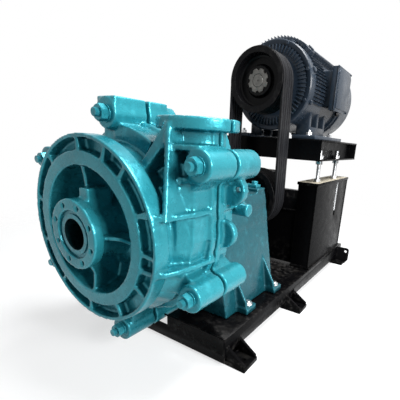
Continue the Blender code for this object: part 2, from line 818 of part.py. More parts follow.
def vane_outline(start_angle):
    """Backward-curved vane between the eye and the rim of the impeller."""
    inner, outer, wrap, half = 0.068, impeller_radius - 0.002, 85, 0.0065
    steps = 4
    faces = ([], [])
    for step in range(steps + 1):
        share = step / steps
        radius = inner + (outer - inner) * share
        angle = radians(start_angle - wrap * share ** 0.9)
        offset = half / radius
        for face, sign in zip(faces, (1, -1)):
            turn = angle + sign * offset
            face.append((radius * cos(turn), shaft_height + radius * sin(turn)))
    return faces[0] + faces[1][::-1]


def impeller(parent):
    front = impeller_front
    back = impeller_back
    shroud = shroud_thickness
    hub_end = back + 0.016
    nose_bore = bore_round(shaft_nose_radius, turn_segments)
    body = turned([(0, back - 0.076), (0.036, back - 0.066), (0.058, back - 0.024), (0.100, back - shroud),
                   (impeller_radius, back - shroud), (impeller_radius, back), (0.044, back), (0.044, hub_end),
                   (nose_bore, hub_end), (nose_bore, back - 0.048), (0, back - 0.048)],
                  0, shaft_height)
    cover = turned([(suction_bore, front), (impeller_radius, front), (impeller_radius, front + shroud),
                    (0.080, front + shroud + 0.003), (0.062, front + 0.028), (suction_bore, front + 0.028)],
                   0, shaft_height)
    vanes = [extruded(vane_outline(360 * index / impeller_vanes), "XZ", place(front + shroud / 2),
                      place(back - shroud / 2)) for index in range(impeller_vanes)]
    unite(body, *vanes)
    unite(body, cover)
    return finish(body, "impeller", cast_iron, parent)


def stuffing_box():
    flange = (bracket_bore - clearance) * cos(pi / drum_segments) - clearance
    face = chamber_back + clearance
    throat = sleeve_radius + 0.0015
    body = turned([(throat, face), (flange, face), (flange, face + 0.030), (0.080, face + 0.034),
                   (0.080, box_end_depth), (box_bore, box_end_depth), (box_bore, face + 0.018),
                   (throat, face + 0.018)], 0, shaft_height)
    start = face + 0.026
    for side in (-1, 1):
        x = side * gland_stud_x
        stud = rod((x, place(start), shaft_height), "Y", gland_depth + 0.040 - start, gland_stud_radius)
        nut = hex_prism((x, place(gland_depth + gland_plate + clearance), shaft_height), "Y", 0.011, 0.0095)
        unite(body, unite(stud, nut))
    return finish(body, "stuffing_box", teal)


def seal_rings():
    """Packing on both sides of the lantern ring."""
    start = chamber_back + clearance + 0.018
    for name, count, material in (("packing_inner", 2, packing_fibre), ("lantern_ring", 1, brass),
                                  ("packing_outer", 2, packing_fibre)):
        start += clearance
        end = start + count * packing_width
        inner = bore_round(sleeve_radius, turn_segments)
        ring = turned([(inner, start), (box_bore - clearance, start),
                       (box_bore - clearance, end), (inner, end)], 0, shaft_height)
        finish(ring, name, material)
        start = end


def gland():
    nose = chamber_back + 0.018 + 5 * packing_width + 5 * clearance
    hole = sleeve_radius + 0.001
    body = turned([(hole, nose), (box_bore - clearance, nose), (box_bore - clearance, gland_depth),
                   (0.074, gland_depth), (0.074, gland_depth + gland_plate), (hole, gland_depth + gland_plate)],
                  0, shaft_height)
    reach = gland_stud_x
    ears = extruded([(-reach - 0.016, shaft_height - 0.018), (-reach - 0.016, shaft_height + 0.018),
                     (-0.060, shaft_height + 0.040), (-0.052, shaft_height + 0.02), (-0.052, shaft_height - 0.02),
                     (-0.060, shaft_height - 0.040)], "XZ", place(gland_depth + 0.001), place(gland_depth + 0.013))
    other = extruded([(reach + 0.016, shaft_height - 0.018), (reach + 0.016, shaft_height + 0.018),
                      (0.060, shaft_height + 0.040), (0.052, shaft_height + 0.02), (0.052, shaft_height - 0.02),
                      (0.060, shaft_height - 0.040)], "XZ", place(gland_depth + 0.001), place(gland_depth + 0.013))
    unite(body, ears, other)
    holes = [drill((side * reach, place(gland_depth - 0.05), shaft_height), "Y", 0.1,
                   gland_stud_radius + thread_clearance) for side in (-1, 1)]
    cut(body, *holes)
    return finish(body, "packing_gland", cast_iron)


# Shaft and bearing assembly



def pump_shaft(parent):
    nose = impeller_back - 0.047
    sleeve_start = impeller_back + 0.016 + clearance
    body = turned([(0, nose), (shaft_nose_radius, nose), (shaft_nose_radius, sleeve_start),
                   (shaft_radius, sleeve_start), (shaft_radius, sleeve_end_depth),
                   (journal_radius, sleeve_end_depth + 0.004), (journal_radius, bearing_back_depth + 0.03),
                   (motor_shaft_radius, bearing_back_depth + 0.034), (motor_shaft_radius, shaft_end_depth - 0.003),
                   (motor_shaft_radius - 0.003, shaft_end_depth), (0.005, shaft_end_depth),
                   (0, shaft_end_depth - 0.010)], 0, shaft_height, shaft_segments)
    return finish(body, "pump_shaft", steel, parent)


def shaft_sleeve(parent):
    start = impeller_back + 0.016 + 2 * clearance
    inner = shaft_radius + clearance
    end = sleeve_end_depth - clearance
    body = turned([(inner, start), (sleeve_radius, start), (sleeve_radius, end), (inner, end)], 0, shaft_height,
                  shaft_segments)
    return finish(body, "shaft_sleeve", steel, parent)


def bearing(name, depth):
    inner = bore_round(journal_radius, turn_segments)
    outer = bearing_outer - clearance
    body = turned([(inner, depth), (outer, depth), (outer, depth + bearing_width), (inner, depth + bearing_width)],
                  0, shaft_height)
    return finish(body, name, steel)


def bearing_housing():
    front, back = bearing_front_depth, bearing_back_depth
    collar = bearing_housing_radius + housing_collar
    body = turned([(bearing_outer, front), (collar, front), (collar, front + 0.026),
                   (bearing_housing_radius, front + 0.030), (bearing_housing_radius, back - 0.030),
                   (collar, back - 0.026), (collar, back), (bearing_outer, back)], 0, shaft_height)
    return finish(body, "bearing_housing", teal)




def cover_bolt_places():
    for step in range(cover_bolts):
        angle = 2 * pi * (step + 0.5) / cover_bolts
        yield cover_bolt_circle * cos(angle), shaft_height + cover_bolt_circle * sin(angle)


def bearing_cover(name, front, faces_front):
    """End cover of the bearing housing with a raised shaft boss and its screw heads on the outer side."""
    back = front + bearing_cover_thickness
    rim = bearing_housing_radius + housing_collar - 0.002
    hole = journal_radius + 0.001
    plate = 0.012
    if faces_front:
        outline = [(hole, front), (0.062, front), (0.066, back - plate), (rim, back - plate), (rim, back),
                   (hole, back)]
    else:
        outline = [(hole, front), (rim, front), (rim, front + plate), (0.066, front + plate), (0.062, back),
                   (hole, back)]
    body = turned(outline, 0, shaft_height, shaft_segments)
    for x, z in cover_bolt_places():
        y = place(back - plate) - 0.007 if faces_front else place(front + plate) - 0.002
        unite(body, hex_prism((x, y, z), "Y", 0.009, 0.008))
    return finish(body, name, teal)


def bearing_bracket():
    """Cast bracket: front plate, leaning side walls, saddle for the bearing housing and four feet."""
    plate_front = bracket_front_plate_depth
    plate_back = plate_front + bracket_plate_thickness
    seat = base_height + clearance
    top = shaft_height + bracket_top
    core = bracket_bore - 0.010
    body = turned([(core, plate_front), (bracket_plate_radius, plate_front), (bracket_plate_radius, plate_back),
                   (core, plate_back)], 0, shaft_height)
    shell = extruded([(-bracket_foot_half_width, seat + 0.002), (bracket_foot_half_width, seat + 0.002),
                      (bracket_top_half_width, top), (-bracket_top_half_width, top)], "XZ",
                     place(plate_front + 0.006), place(bracket_back_depth))
    inner_foot = bracket_foot_half_width - bracket_wall
    inner_top = bracket_top_half_width - bracket_wall
    ceiling = shaft_height - bearing_housing_radius - 0.030
    hollow = extruded([(-inner_foot, seat - 0.05), (inner_foot, seat - 0.05), (inner_top + 0.02, ceiling),
                       (-inner_top - 0.02, ceiling)], "XZ", place(plate_back + 0.010),
                      place(bracket_back_depth + 0.05))
    saddle_front = bearing_front_depth - bearing_cover_thickness - 0.030
    trough = rod((0, place(saddle_front), shaft_height), "Y", 0.6,
                 bearing_housing_radius + housing_collar + clearance, turn_segments)
    trough_half = bearing_housing_radius + housing_collar + clearance
    open_top = box(-trough_half, trough_half, place(saddle_front), place(1.2), shaft_height, top + 0.05)
    seal_bay = rod((0, place(plate_front - 0.05), shaft_height), "Y", 0.3, bracket_bore, turn_segments)
    seal_top = box(-bracket_bore, bracket_bore, place(plate_back), place(0.6), shaft_height, top + 0.05)
    cut(shell, hollow, trough, open_top, seal_top)
    unite(body, shell)
    cut(body, seal_bay)
    feet = []
    for side in (-1, 1):
        for y0, y1 in foot_spans:
            inner = side * (bracket_foot_half_width - 0.035)
            outer = side * foot_reach
            feet.append(box(min(inner, outer), max(inner, outer), place(y0), place(y1), seat, seat + foot_thickness))
            root, tip = bracket_foot_half_width, foot_reach
            lean = [(side * (root - 0.012), seat + 0.01), (side * (tip - 0.006), seat + 0.01),
                    (side * (tip - 0.012), seat + 0.055), (side * (root - 0.036), seat + 0.20)]
            feet.append(extruded(lean, "XZ", place(y0 + 0.004), place(y0 + 0.018)))
    unite(body, *feet)
    lugs = []
    for side in (-1, 1):
        for depth in clamp_depths:
            inner = side * (bearing_housing_radius + housing_collar + 0.006)
            outer = side * (bracket_top_half_width - 0.001)
            lugs.append(box(min(inner, outer), max(inner, outer), place(depth - 0.036), place(depth + 0.036),
                            top - 0.03, top + 0.022))
    unite(body, *lugs)
    drills = [drill((x, place(depth), base_height - 0.01), "Z", 0.06, foot_bolt_radius + thread_clearance)
              for x, depth in foot_bolt_places]
    drills += [drill((side * clamp_x, place(depth), top - 0.02), "Z", 0.06, clamp_bolt_radius + thread_clearance)
               for side in (-1, 1) for depth in clamp_depths]
    cut(body, *drills)
    for x, z in plate_bolt_places:
        face = place(plate_back) - 0.001
        unite(body, bolt(x, face, z, "Y", 0.015, 0.013, casing_bolt_radius, -casing_bolt_length))
    return finish(body, "bearing_bracket", teal)




def bracket_foot_bolts():
    for number, (x, depth) in enumerate(foot_bolt_places, 1):
        head_face = base_height + clearance + foot_thickness + clearance
        screw = bolt(x, place(depth), head_face, "Z", 0.0155, 0.014, foot_bolt_radius, -0.050)
        finish(screw, "bracket_foot_bolt_%d" % number, zinc)


def bearing_clamps():
    """Straps over the bearing housing with the bolts that pull them onto the bracket's lugs."""
    top = shaft_height + bracket_top + 0.022 + clearance
    inner = bearing_housing_radius + clearance
    outer = inner + 0.018
    reach = clamp_x + 0.022
    for name, depth in zip(("front_bearing_clamp", "rear_bearing_clamp"), clamp_depths):
        crown_in = arc(0, shaft_height, inner, 62, 118, 6)
        crown_out = arc(0, shaft_height, outer, 62, 118, 6)
        outline = [(reach, top), (reach, top + 0.014), (outer * cos(radians(48)), top + 0.014)] + crown_out
        outline += [(-outer * cos(radians(48)), top + 0.014), (-reach, top + 0.014), (-reach, top)]
        outline += [(-inner * cos(radians(56)), top)] + crown_in[::-1] + [(inner * cos(radians(56)), top)]
        strap = extruded(outline, "XZ", place(depth - 0.022), place(depth + 0.022))
        for side in (-1, 1):
            screw = bolt(side * clamp_x, place(depth), top + 0.013, "Z", 0.013, 0.011, clamp_bolt_radius, -0.040)
            unite(strap, screw)
        finish(strap, name, teal)


def casing_studs():
    """Long studs through both halves of each barrel, with a nut run up at either end."""
    for number, (x, z) in enumerate(stud_centres, 1):
        back = barrel_back_depth + nut_height + stud_rear_stand_out
        stud = rod((x, place(stud_front_depth), z), "Y", back - stud_front_depth, stud_radius, stud_segments)
        front_face = place(barrel_front_depth) - clearance - nut_height
        front_nut = hex_prism((x, front_face, z), "Y", nut_height, nut_flat_radius)
        rear_nut = hex_prism((x, place(barrel_back_depth) + clearance, z), "Y", nut_height, nut_flat_radius)
        unite(stud, front_nut, rear_nut)
        finish(stud, "casing_stud_%d" % number, teal)


# Belt drive

def belt_flank(height_from_rim):
    """Half width of a belt or groove at a height above the pulley rim."""
    return belt_top_width / 2 - (belt_stand_out - height_from_rim) * 0.3249


def pulley(name, x, z, rim, parent):
    front = pulley_front_depth
    flank_gap = 0.0009
    floor = rim + belt_stand_out - belt_height - groove_extra
    half_top = belt_flank(0) + flank_gap
    half_floor = belt_flank(floor - rim) + flank_gap
    profile = [(rim, front)]
    for index in range(groove_count):
        middle = front + groove_edge + index * groove_pitch
        profile += [(rim, middle - half_top), (floor, middle - half_floor), (floor, middle + half_floor),
                    (rim, middle + half_top)]
    back = pulley_back_depth
    inner = floor - 0.014
    web_front = front + 0.052
    web_back = web_front + 0.022
    hub = bush_radius + 0.026
    bore = bush_radius + clearance
    hub_front = front + 0.030
    hub_back = back - 0.032
    profile += [(rim, back), (inner, back), (inner, web_back), (hub, web_back), (hub, hub_back), (bore, hub_back),
                (bore, hub_front), (hub, hub_front), (hub + 0.004, web_front), (inner - 0.004, web_front),
                (inner, front)]
    body = turned(profile, x, z)
    return finish(body, name, cast_iron, parent)


def taper_bush(name, x, z, parent):
    front = pulley_front_depth + 0.028
    back = pulley_back_depth - 0.034
    inner = bore_round(motor_shaft_radius, turn_segments)
    body = turned([(inner, front), (bush_radius - 0.002, front), (bush_radius, front + 0.003), (bush_radius, back),
                   (inner, back)], x, z)
    notches = []
    for step in range(bush_notches):
        angle = 2 * pi * step / bush_notches
        notch_x = x + (bush_radius + 0.002) * cos(angle)
        notch_z = z + (bush_radius + 0.002) * sin(angle)
        notches.append(rod((notch_x, place(front - 0.01), notch_z), "Y", 0.032, 0.0075, 6))
    cut(body, *notches)
    return finish(body, name, steel, parent)


def belt_loop(offset):
    """Outline round both pulleys at a height above their rims."""
    low = pump_pulley_radius + offset
    high = motor_pulley_radius + offset
    span_z = motor_shaft_height - shaft_height
    lean = (low - high) / span_z
    tilt = atan2(lean, (1 - lean * lean) ** 0.5) * 180 / pi
    steps = 10
    return (arc(0, motor_shaft_height, high, tilt, 180 - tilt, steps)
            + arc(0, shaft_height, low, 180 - tilt, 360 + tilt, steps))


def v_belts():
    """One closed loop per groove, narrower towards its inner side."""
    inner = belt_stand_out - belt_height
    half_back = belt_top_width / 2
    half_inner = belt_flank(inner)
    for index in range(groove_count):
        middle = place(pulley_front_depth + groove_edge + index * groove_pitch)
        bm = bmesh.new()
        rings = []
        for (back_x, back_z), (in_x, in_z) in zip(belt_loop(belt_stand_out), belt_loop(inner)):
            section = ((back_x, middle - half_back, back_z), (back_x, middle + half_back, back_z),
                       (in_x, middle + half_inner, in_z), (in_x, middle - half_inner, in_z))
            rings.append([bm.verts.new(point) for point in section])
        for ring, following in zip(rings, rings[1:] + rings[:1]):
            for side in range(4):
                other = (side + 1) % 4
                bm.faces.new((ring[side], ring[other], following[other], following[side]))
        bmesh.ops.recalc_face_normals(bm, faces=bm.faces)
        finish(new_object("belt", bm), "v_belt_%d" % (index + 1), rubber)


# Base frame, columns, platform and jacking studs



def channel(x_web, direction, y0, y1, z0, z1, flange, wall):
    """Channel section along Y. Its flanges point from the web towards +X or -X."""
    web = x_web
    tip = x_web + direction * flange
    skin = x_web + direction * wall
    outline = [(web, z0), (tip, z0), (tip, z0 + wall), (skin, z0 + wall), (skin, z1 - wall), (tip, z1 - wall),
               (tip, z1), (web, z1)]
    return extruded(outline, "XZ", y0, y1)


def cross_channel(y_web, direction, x0, x1, z0, z1, flange, wall):
    """Channel section along X. Its flanges point from the web towards +Y or -Y."""
    tip = y_web + direction * flange
    skin = y_web + direction * wall
    outline = [(y_web, z0), (tip, z0), (tip, z0 + wall), (skin, z0 + wall), (skin, z1 - wall), (tip, z1 - wall),
               (tip, z1), (y_web, z1)]
    return extruded(outline, "YZ", x0, x1)


def foot_bracket(side, y0, y1):
    """Foot under one rail: a drilled floor plate and two upright gussets."""
    inner = side * (base_half_width - rail_flange + 0.004)
    outer = side * foot_tab_reach
    plate = box(min(inner, outer), max(inner, outer), place(y0), place(y1), 0, foot_tab_thickness)
    ribs = []
    for edge in (y0 + 0.001, y1 - 0.013):
        outline = [(inner, 0.004), (outer - side * 0.004, 0.004), (outer - side * 0.004, foot_tab_thickness + 0.010),
                   (side * (base_half_width - 0.002), 0.085), (inner, rail_bottom + 0.004)]
        ribs.append(extruded(outline, "XZ", place(edge), place(edge + 0.012)))
    unite(plate, *ribs)
    hole = rod((side * (foot_tab_reach - 0.035), place((y0 + y1) / 2), -0.01), "Z", 0.06, foot_hole_radius)
    return cut(plate, hole)


def base_frame():
    front = place(base_set_back)
    back = front + base_length
    top = base_height
    left = channel(-base_half_width, 1, front, back, rail_bottom, top, rail_flange, rail_wall)
    right = channel(base_half_width, -1, front, back, rail_bottom, top, rail_flange, rail_wall)
    inside = base_half_width - rail_wall + 0.002
    face = cross_channel(front + 0.0005, 1, -inside - 0.004, inside + 0.004, 0.012, top, 0.055, rail_wall)
    tail = cross_channel(back - 0.0005, -1, -inside - 0.004, inside + 0.004, rail_bottom, top, 0.055, rail_wall)
    pieces = [right, face, tail]
    for y0, y1 in cross_member_spans:
        pieces.append(cross_channel(place(y0), 1, -inside, inside, rail_bottom, top, y1 - y0, rail_wall))
    deck = box(-inside, inside, front + 0.002, place(deck_back_depth), top - deck_thickness, top)
    unite(left, *pieces)
    unite(left, deck)
    for side in (-1, 1):
        for y0, y1 in foot_tab_spans:
            unite(left, foot_bracket(side, y0, y1))
        unite(left, lifting_lug(side))
    x, z = stud_centres[3]
    notch_half = barrel_radius + barrel_notch
    notch = box(x - notch_half, x + notch_half, front - 0.05, place(barrel_back_depth + 0.075),
                z - notch_half, top + 0.05)
    drills = [drill((x, place(depth), top - 0.05), "Z", 0.1, foot_bolt_radius + thread_clearance)
              for x, depth in foot_bolt_places]
    drills += [drill((x, y, top - 0.05), "Z", 0.1, column_bolt_radius + thread_clearance)
               for x, y in column_bolt_places()]
    cut(left, notch, *drills)
    return finish(left, "base_frame", black)


def lifting_lug(side):
    """Rounded lug plate at the rear of a rail, drilled for a shackle, which is also the rear foot."""
    inner = base_half_width - rail_wall / 2
    outer = foot_tab_reach
    low, high, fillet = 0.0, base_height - 0.004, 0.020
    corner = arc(outer - fillet, high - fillet, fillet, 0, 90, 4)
    outline = [(inner, low), (outer - 0.022, low), (outer, low + 0.030)] + corner + [(inner, high)]
    plate = extruded([(side * x, z) for x, z in outline], "XZ", place(lug_depth), place(lug_depth + lug_thickness))
    pad_inner = side * (base_half_width - rail_flange + 0.004)
    pad_outer = side * (outer - 0.024)
    pad = box(min(pad_inner, pad_outer), max(pad_inner, pad_outer), place(lug_depth - 0.060),
              place(lug_depth + lug_thickness - 0.002), 0, foot_tab_thickness)
    rail_face = side * base_half_width
    post = box(min(pad_inner, rail_face), max(pad_inner, rail_face), place(lug_depth - 0.006),
               place(lug_depth + lug_thickness - 0.002), 0.006, rail_bottom + 0.004)
    unite(plate, pad, post)
    hole = rod((side * (outer - 0.024), place(lug_depth - 0.02), high - 0.026), "Y", 0.06, 0.012)
    return cut(plate, hole)




def column_bolt_places():
    for side in (-1, 1):
        for depth in (column_front_depth + column_bolt_inset, column_back_depth - column_bolt_inset):
            yield side * (base_half_width - rail_flange / 2), place(depth)


def column(side, name):
    """Welded column: outer side plate with a slit, front and rear plates, foot plate and head plate."""
    seat = base_height + clearance
    y0, y1 = place(column_front_depth), place(column_back_depth)
    outer = column_outer_x
    inner = outer - column_width
    head = column_top

    def at(x):
        return side * x

    def slab(x0, x1, ya, yb, z0, z1):
        return box(min(at(x0), at(x1)), max(at(x0), at(x1)), ya, yb, z0, z1)

    skin = slab(outer - column_plate, outer, y0, y1, seat + 0.004, head + 0.004)
    slit_middle = place(jack_depths[1])
    slot = slab(outer - 0.03, outer + 0.03, slit_middle - slit_width / 2, slit_middle + slit_width / 2, slit_low,
                slit_high)
    cut(skin, slot)
    front = slab(inner, outer - 0.002, y0, y0 + column_plate, seat + 0.004, head + 0.004)
    rear = slab(inner, outer - 0.002, y1 - column_plate, y1, seat + 0.004, head + 0.004)
    foot = slab(inner, base_half_width - 0.001, y0 - 0.010, y1 + 0.010, seat, seat + column_foot_plate)
    top = slab(inner - 0.006, outer + 0.006, y0 - 0.006, y1 + 0.006, head, head + column_head_plate)
    centre = (y0 + y1) / 2
    middle = slab(inner + 0.004, outer - 0.002, centre - 0.010, centre - 0.002, seat + 0.004, head + 0.004)
    unite(skin, front, rear, middle, foot, top)
    drills = [drill((at(jack_x), place(depth), head - 0.03), "Z", 0.08, jack_radius + thread_clearance)
              for depth in jack_depths]
    cut(skin, *drills)
    bolt_seat = seat + column_foot_plate - 0.001
    for x, y in column_bolt_places():
        if x * side > 0:
            unite(skin, bolt(x, y, bolt_seat, "Z", 0.012, 0.010, column_bolt_radius, -0.035))
    return finish(skin, name, black)




def column_tie_beam():
    """Deep channel that closes the space between the columns behind the belts, with a stiffening rib in front."""
    half = column_outer_x - column_width + tie_panel_overlap
    web = place(column_front_depth + column_plate) + clearance
    low = base_height + clearance + column_foot_plate + clearance
    panel = cross_channel(web, 1, -half, half, low, tie_panel_top, tie_panel_flange, tie_panel_wall)
    rib_half = column_outer_x - column_width - 0.002
    rib = box(-rib_half, rib_half, web - tie_rib_reach, web + tie_panel_wall / 2, tie_rib_height,
              tie_rib_height + tie_panel_wall)
    unite(panel, rib)
    return finish(panel, "column_tie_beam", black)


def motor_platform(parent):
    """Rectangular frame of channels under the motor, with two seat bars for its feet."""
    top, bottom = platform_top, platform_bottom
    y0, y1 = place(platform_front_depth), place(platform_back_depth)
    web = platform_half_width - section_flange
    wall = section_wall
    left = channel(-web, -1, y0, y1, bottom, top, section_flange, wall)
    right = channel(web, 1, y0, y1, bottom, top, section_flange, wall)
    inside = web + wall / 2
    face = cross_channel(y0, 1, -inside, inside, bottom, top, 0.050, wall)
    tail = cross_channel(y1, -1, -inside, inside, bottom, top, 0.050, wall)
    seats = []
    for depth in motor_bolt_depths():
        seats.append(box(-inside, inside, place(depth - 0.045), place(depth + 0.045), top - 0.014, top))
    end_plates = []
    for side in (-1, 1):
        for y in (y0, y1 - wall):
            x0 = side * (web - 0.002)
            x1 = side * (platform_half_width - 0.001)
            end_plates.append(box(min(x0, x1), max(x0, x1), y, y + wall, bottom + 0.002, top - 0.002))
    unite(left, right, face, tail, *seats, *end_plates)
    for side in (-1, 1):
        for depth in jack_depths:
            unite(left, platform_nut(side * jack_x, depth, platform_bottom - jack_nut_height))
            unite(left, platform_nut(side * jack_x, depth, platform_bottom + section_wall))
    drills = [drill((side * jack_x, place(depth), bottom - 0.04), "Z", 0.09, jack_radius + thread_clearance)
              for side in (-1, 1) for depth in jack_depths]
    drills += [drill((side * motor_foot_x, place(depth), top - 0.04), "Z", 0.08, foot_screw_radius + thread_clearance)
               for side in (-1, 1) for depth in motor_bolt_depths()]
    cut(left, *drills)
    return finish(left, "motor_platform", black, parent)


def platform_nut(x, depth, z):
    """Nut that bears on one face of the platform's lower flange."""
    return hex_prism((x, place(depth), z - 0.0005), "Z", jack_nut_height + 0.001, jack_nut_flat_radius)


def jacking_studs():
    """Threaded rods held in the column heads by a nut above and below the plate."""
    low = jack_low
    high = platform_bottom + section_wall + jack_nut_height + 0.030
    number = 0
    for side in (-1, 1):
        for depth in jack_depths:
            number += 1
            x, y = side * jack_x, place(depth)
            stud = rod((x, y, low), "Z", high - low, jack_radius, stud_segments)
            upper = hex_prism((x, y, column_top + column_head_plate + clearance), "Z", jack_nut_height,
                              jack_nut_flat_radius)
            lower = hex_prism((x, y, column_top - clearance - jack_nut_height), "Z", jack_nut_height,
                              jack_nut_flat_radius)
            unite(stud, upper, lower)
            finish(stud, "jacking_stud_%d" % number, zinc)


# Motor



def motor_bolt_depths():
    middle = (motor_frame_front_depth + motor_frame_back_depth) / 2 - 0.040
    return middle - motor_foot_half_length + 0.02, middle + motor_foot_half_length - 0.02


def fin_outline():
    """Barrel with straight cooling fins all round, as one closed loop."""
    points = []
    core = motor_core_radius
    tip = core + fin_height
    half_root = fin_thickness * 0.75 / core
    half_tip = fin_thickness * 0.5 / tip
    for index in range(fin_count):
        angle = 2 * pi * (index + 0.5) / fin_count
        for radius, turn in ((core, angle - half_root), (tip, angle - half_tip), (tip, angle + half_tip),
                             (core, angle + half_root)):
            points.append((radius * cos(turn), motor_shaft_height + radius * sin(turn)))
    return points


def motor_frame(parent):
    y0 = place(motor_frame_front_depth)
    y1 = place(motor_frame_back_depth)
    z = motor_shaft_height
    body = extruded(fin_outline(), "XZ", y0 + 0.002, y1 - 0.002, [arc(0, z, stator_bore, 0, 337.5, 15)])
    rings = []
    for start in (motor_frame_front_depth, motor_frame_back_depth - end_ring_length):
        ring_radius = shield_radius - 0.002
        outline = [(0.150, start), (ring_radius, start), (ring_radius, start + end_ring_length),
                   (0.150, start + end_ring_length)]
        rings.append(turned(outline, 0, z))
    unite(body, *rings)
    underside = z - motor_foot_height
    feet = []
    front, back = motor_bolt_depths()
    for side in (-1, 1):
        inner, outer = side * 0.150, side * motor_foot_reach
        feet.append(box(min(inner, outer), max(inner, outer), place(front - motor_foot_margin), place(back + motor_foot_margin),
                        underside,
                        underside + motor_foot_thickness))
        for depth in (front + 0.065, (front + back) / 2, back - 0.065):
            leg = [(side * 0.130, z - 0.170), (side * 0.205, z - 0.130),
                   (side * (motor_foot_reach - 0.030), underside + 0.012), (side * 0.165, underside + 0.012)]
            feet.append(extruded(leg, "XZ", place(depth - 0.012), place(depth + 0.012)))
    unite(body, *feet)
    box_seat = box(motor_core_radius - 0.060, terminal_base_x, place(terminal_front + 0.020), place(terminal_back - 0.020),
                   terminal_low + 0.020, terminal_high - 0.020)
    eye_seat = box(-0.026, 0.026, place(eye_depth - 0.030), place(eye_depth + 0.030), z + 0.180, z + eye_seat_height)
    turn_about(eye_seat, radians(eye_angle - 90), 0, z)
    pads = []
    for angle in (eye_angle, 180 - eye_angle):
        pad = box(shield_radius - 0.05, shield_radius + 0.014, place(motor_frame_front_depth + 0.02),
                  place(motor_frame_back_depth - 0.01), z - 0.012, z + 0.012)
        pads.append(turn_about(pad, radians(angle), 0, z))
    unite(body, box_seat, eye_seat, *pads)
    eye_hole = drill((0, place(eye_depth), z + eye_seat_height - 0.030), "Z", 0.05, eye_shank_radius + clearance)
    cut(body, turn_about(eye_hole, radians(eye_angle - 90), 0, z))
    for side in (-1, 1):
        for depth in motor_bolt_depths():
            seat = underside + motor_foot_thickness - 0.001
            unite(body, bolt(side * motor_foot_x, place(depth), seat, "Z", 0.015, 0.013, foot_screw_radius, -0.050))
    return finish(body, "motor_frame", motor_grey, parent)




def terminal_box(parent):
    y0, y1 = place(terminal_front), place(terminal_back)
    body = box(terminal_base_x + clearance, terminal_out_x, y0, y1, terminal_low, terminal_high)
    hollow = box(terminal_base_x + 0.008, terminal_out_x + 0.02, y0 + 0.012, y1 - 0.012, terminal_low + 0.012,
                 terminal_high - 0.012)
    entry_x = (terminal_base_x + terminal_out_x) / 2 + 0.001
    entry = drill((entry_x, (y0 + y1) / 2, terminal_low - 0.02), "Z", 0.06, gland_radius + 0.0005, 12)
    cut(body, hollow, entry)
    finish(body, "terminal_box", motor_grey, parent)
    lid_in = terminal_out_x + clearance
    lid_out = lid_in + terminal_cover
    slope = 0.020
    lid = box(lid_in, lid_in + 0.006, y0 - 0.004, y1 + 0.004, terminal_low - 0.004, terminal_high + 0.004)
    crown = extruded([(y0 + 0.010, terminal_low + 0.012), (y1 - 0.010, terminal_low + 0.012),
                      (y1 - 0.010, terminal_high - 0.012 - slope), (y1 - 0.010 - slope, terminal_high - 0.012),
                      (y0 + 0.010 + slope, terminal_high - 0.012), (y0 + 0.010, terminal_high - 0.012 - slope)],
                     "YZ", lid_in + 0.002, lid_out)
    unite(lid, crown)
    finish(lid, "terminal_box_cover", motor_grey, parent)
    nut = rod((entry_x, (y0 + y1) / 2, terminal_low - 0.026), "Z", 0.026 - clearance, gland_radius + 0.004, 6)
    neck = rod((entry_x, (y0 + y1) / 2, terminal_low - 0.006), "Z", 0.024, gland_radius, 12)
    unite(nut, neck)
    cut(nut, rod((entry_x, (y0 + y1) / 2, terminal_low - 0.05), "Z", 0.1, gland_radius - 0.004, 12))
    finish(nut, "cable_gland", brass, parent)


def motor_shields(parent):
    z = motor_shaft_height
    front = motor_front_depth
    seat = motor_frame_front_depth - clearance
    hole = motor_shaft_radius + 0.0012
    body = turned([(hole, front), (0.070, front), (0.078, front + 0.016), (0.160, front + 0.014),
                   (shield_radius - 0.032, front + 0.026), (shield_radius, front + 0.030), (shield_radius, seat), (hole, seat)],
                  0, z)
    finish(body, "motor_front_shield", motor_grey, parent)
    back = motor_frame_back_depth + clearance
    spigot = cowl_radius - cowl_wall - clearance
    rear = turned([(hole, back), (spigot, back), (spigot, back + 0.018),
                   (0.150, back + 0.030), (0.070, back + 0.030), (0.066, back + 0.040), (hole, back + 0.040)], 0, z)
    finish(rear, "motor_rear_shield", motor_grey, parent)


def fan_cowl(parent):
    z = motor_shaft_height
    start = motor_frame_back_depth + clearance + 0.004
    back = cowl_back_depth
    inner = cowl_radius - cowl_wall
    body = turned([(inner, start), (cowl_radius, start), (cowl_radius, back - 0.026), (cowl_radius - 0.022, back),
                   (0.060, back), (0.060, back - cowl_wall), (cowl_radius - 0.024, back - cowl_wall),
                   (inner, back - 0.028)],
                  0, z)
    spokes = []
    for step in range(cowl_slots):
        slot = box(0.085, cowl_radius - 0.045, place(back - 0.02), place(back + 0.01), z - 0.008, z + 0.008)
        spokes.append(turn_about(slot, 2 * pi * step / cowl_slots, 0, z))
    cut(body, *spokes)
    cap = turned([(0, back - cowl_wall), (0.064, back - cowl_wall), (0.064, back), (0, back)], 0, z, 24)
    unite(body, cap)
    return finish(body, "fan_cowl", motor_grey, parent)


def motor_rotor(parent):
    z = motor_shaft_height
    start = pulley_front_depth + 0.022
    fan_end = motor_frame_back_depth + 0.120
    core_front = motor_frame_front_depth + 0.050
    core_back = motor_frame_back_depth - 0.050
    r = motor_shaft_radius
    body = turned([(0, start + 0.010), (0.005, start), (r - 0.003, start), (r, start + 0.003),
                   (r, core_front), (rotor_core_radius, core_front), (rotor_core_radius, core_back), (r, core_back),
                   (r, fan_end), (0, fan_end)], 0, z, shaft_segments)
    return finish(body, "motor_shaft", steel, parent)


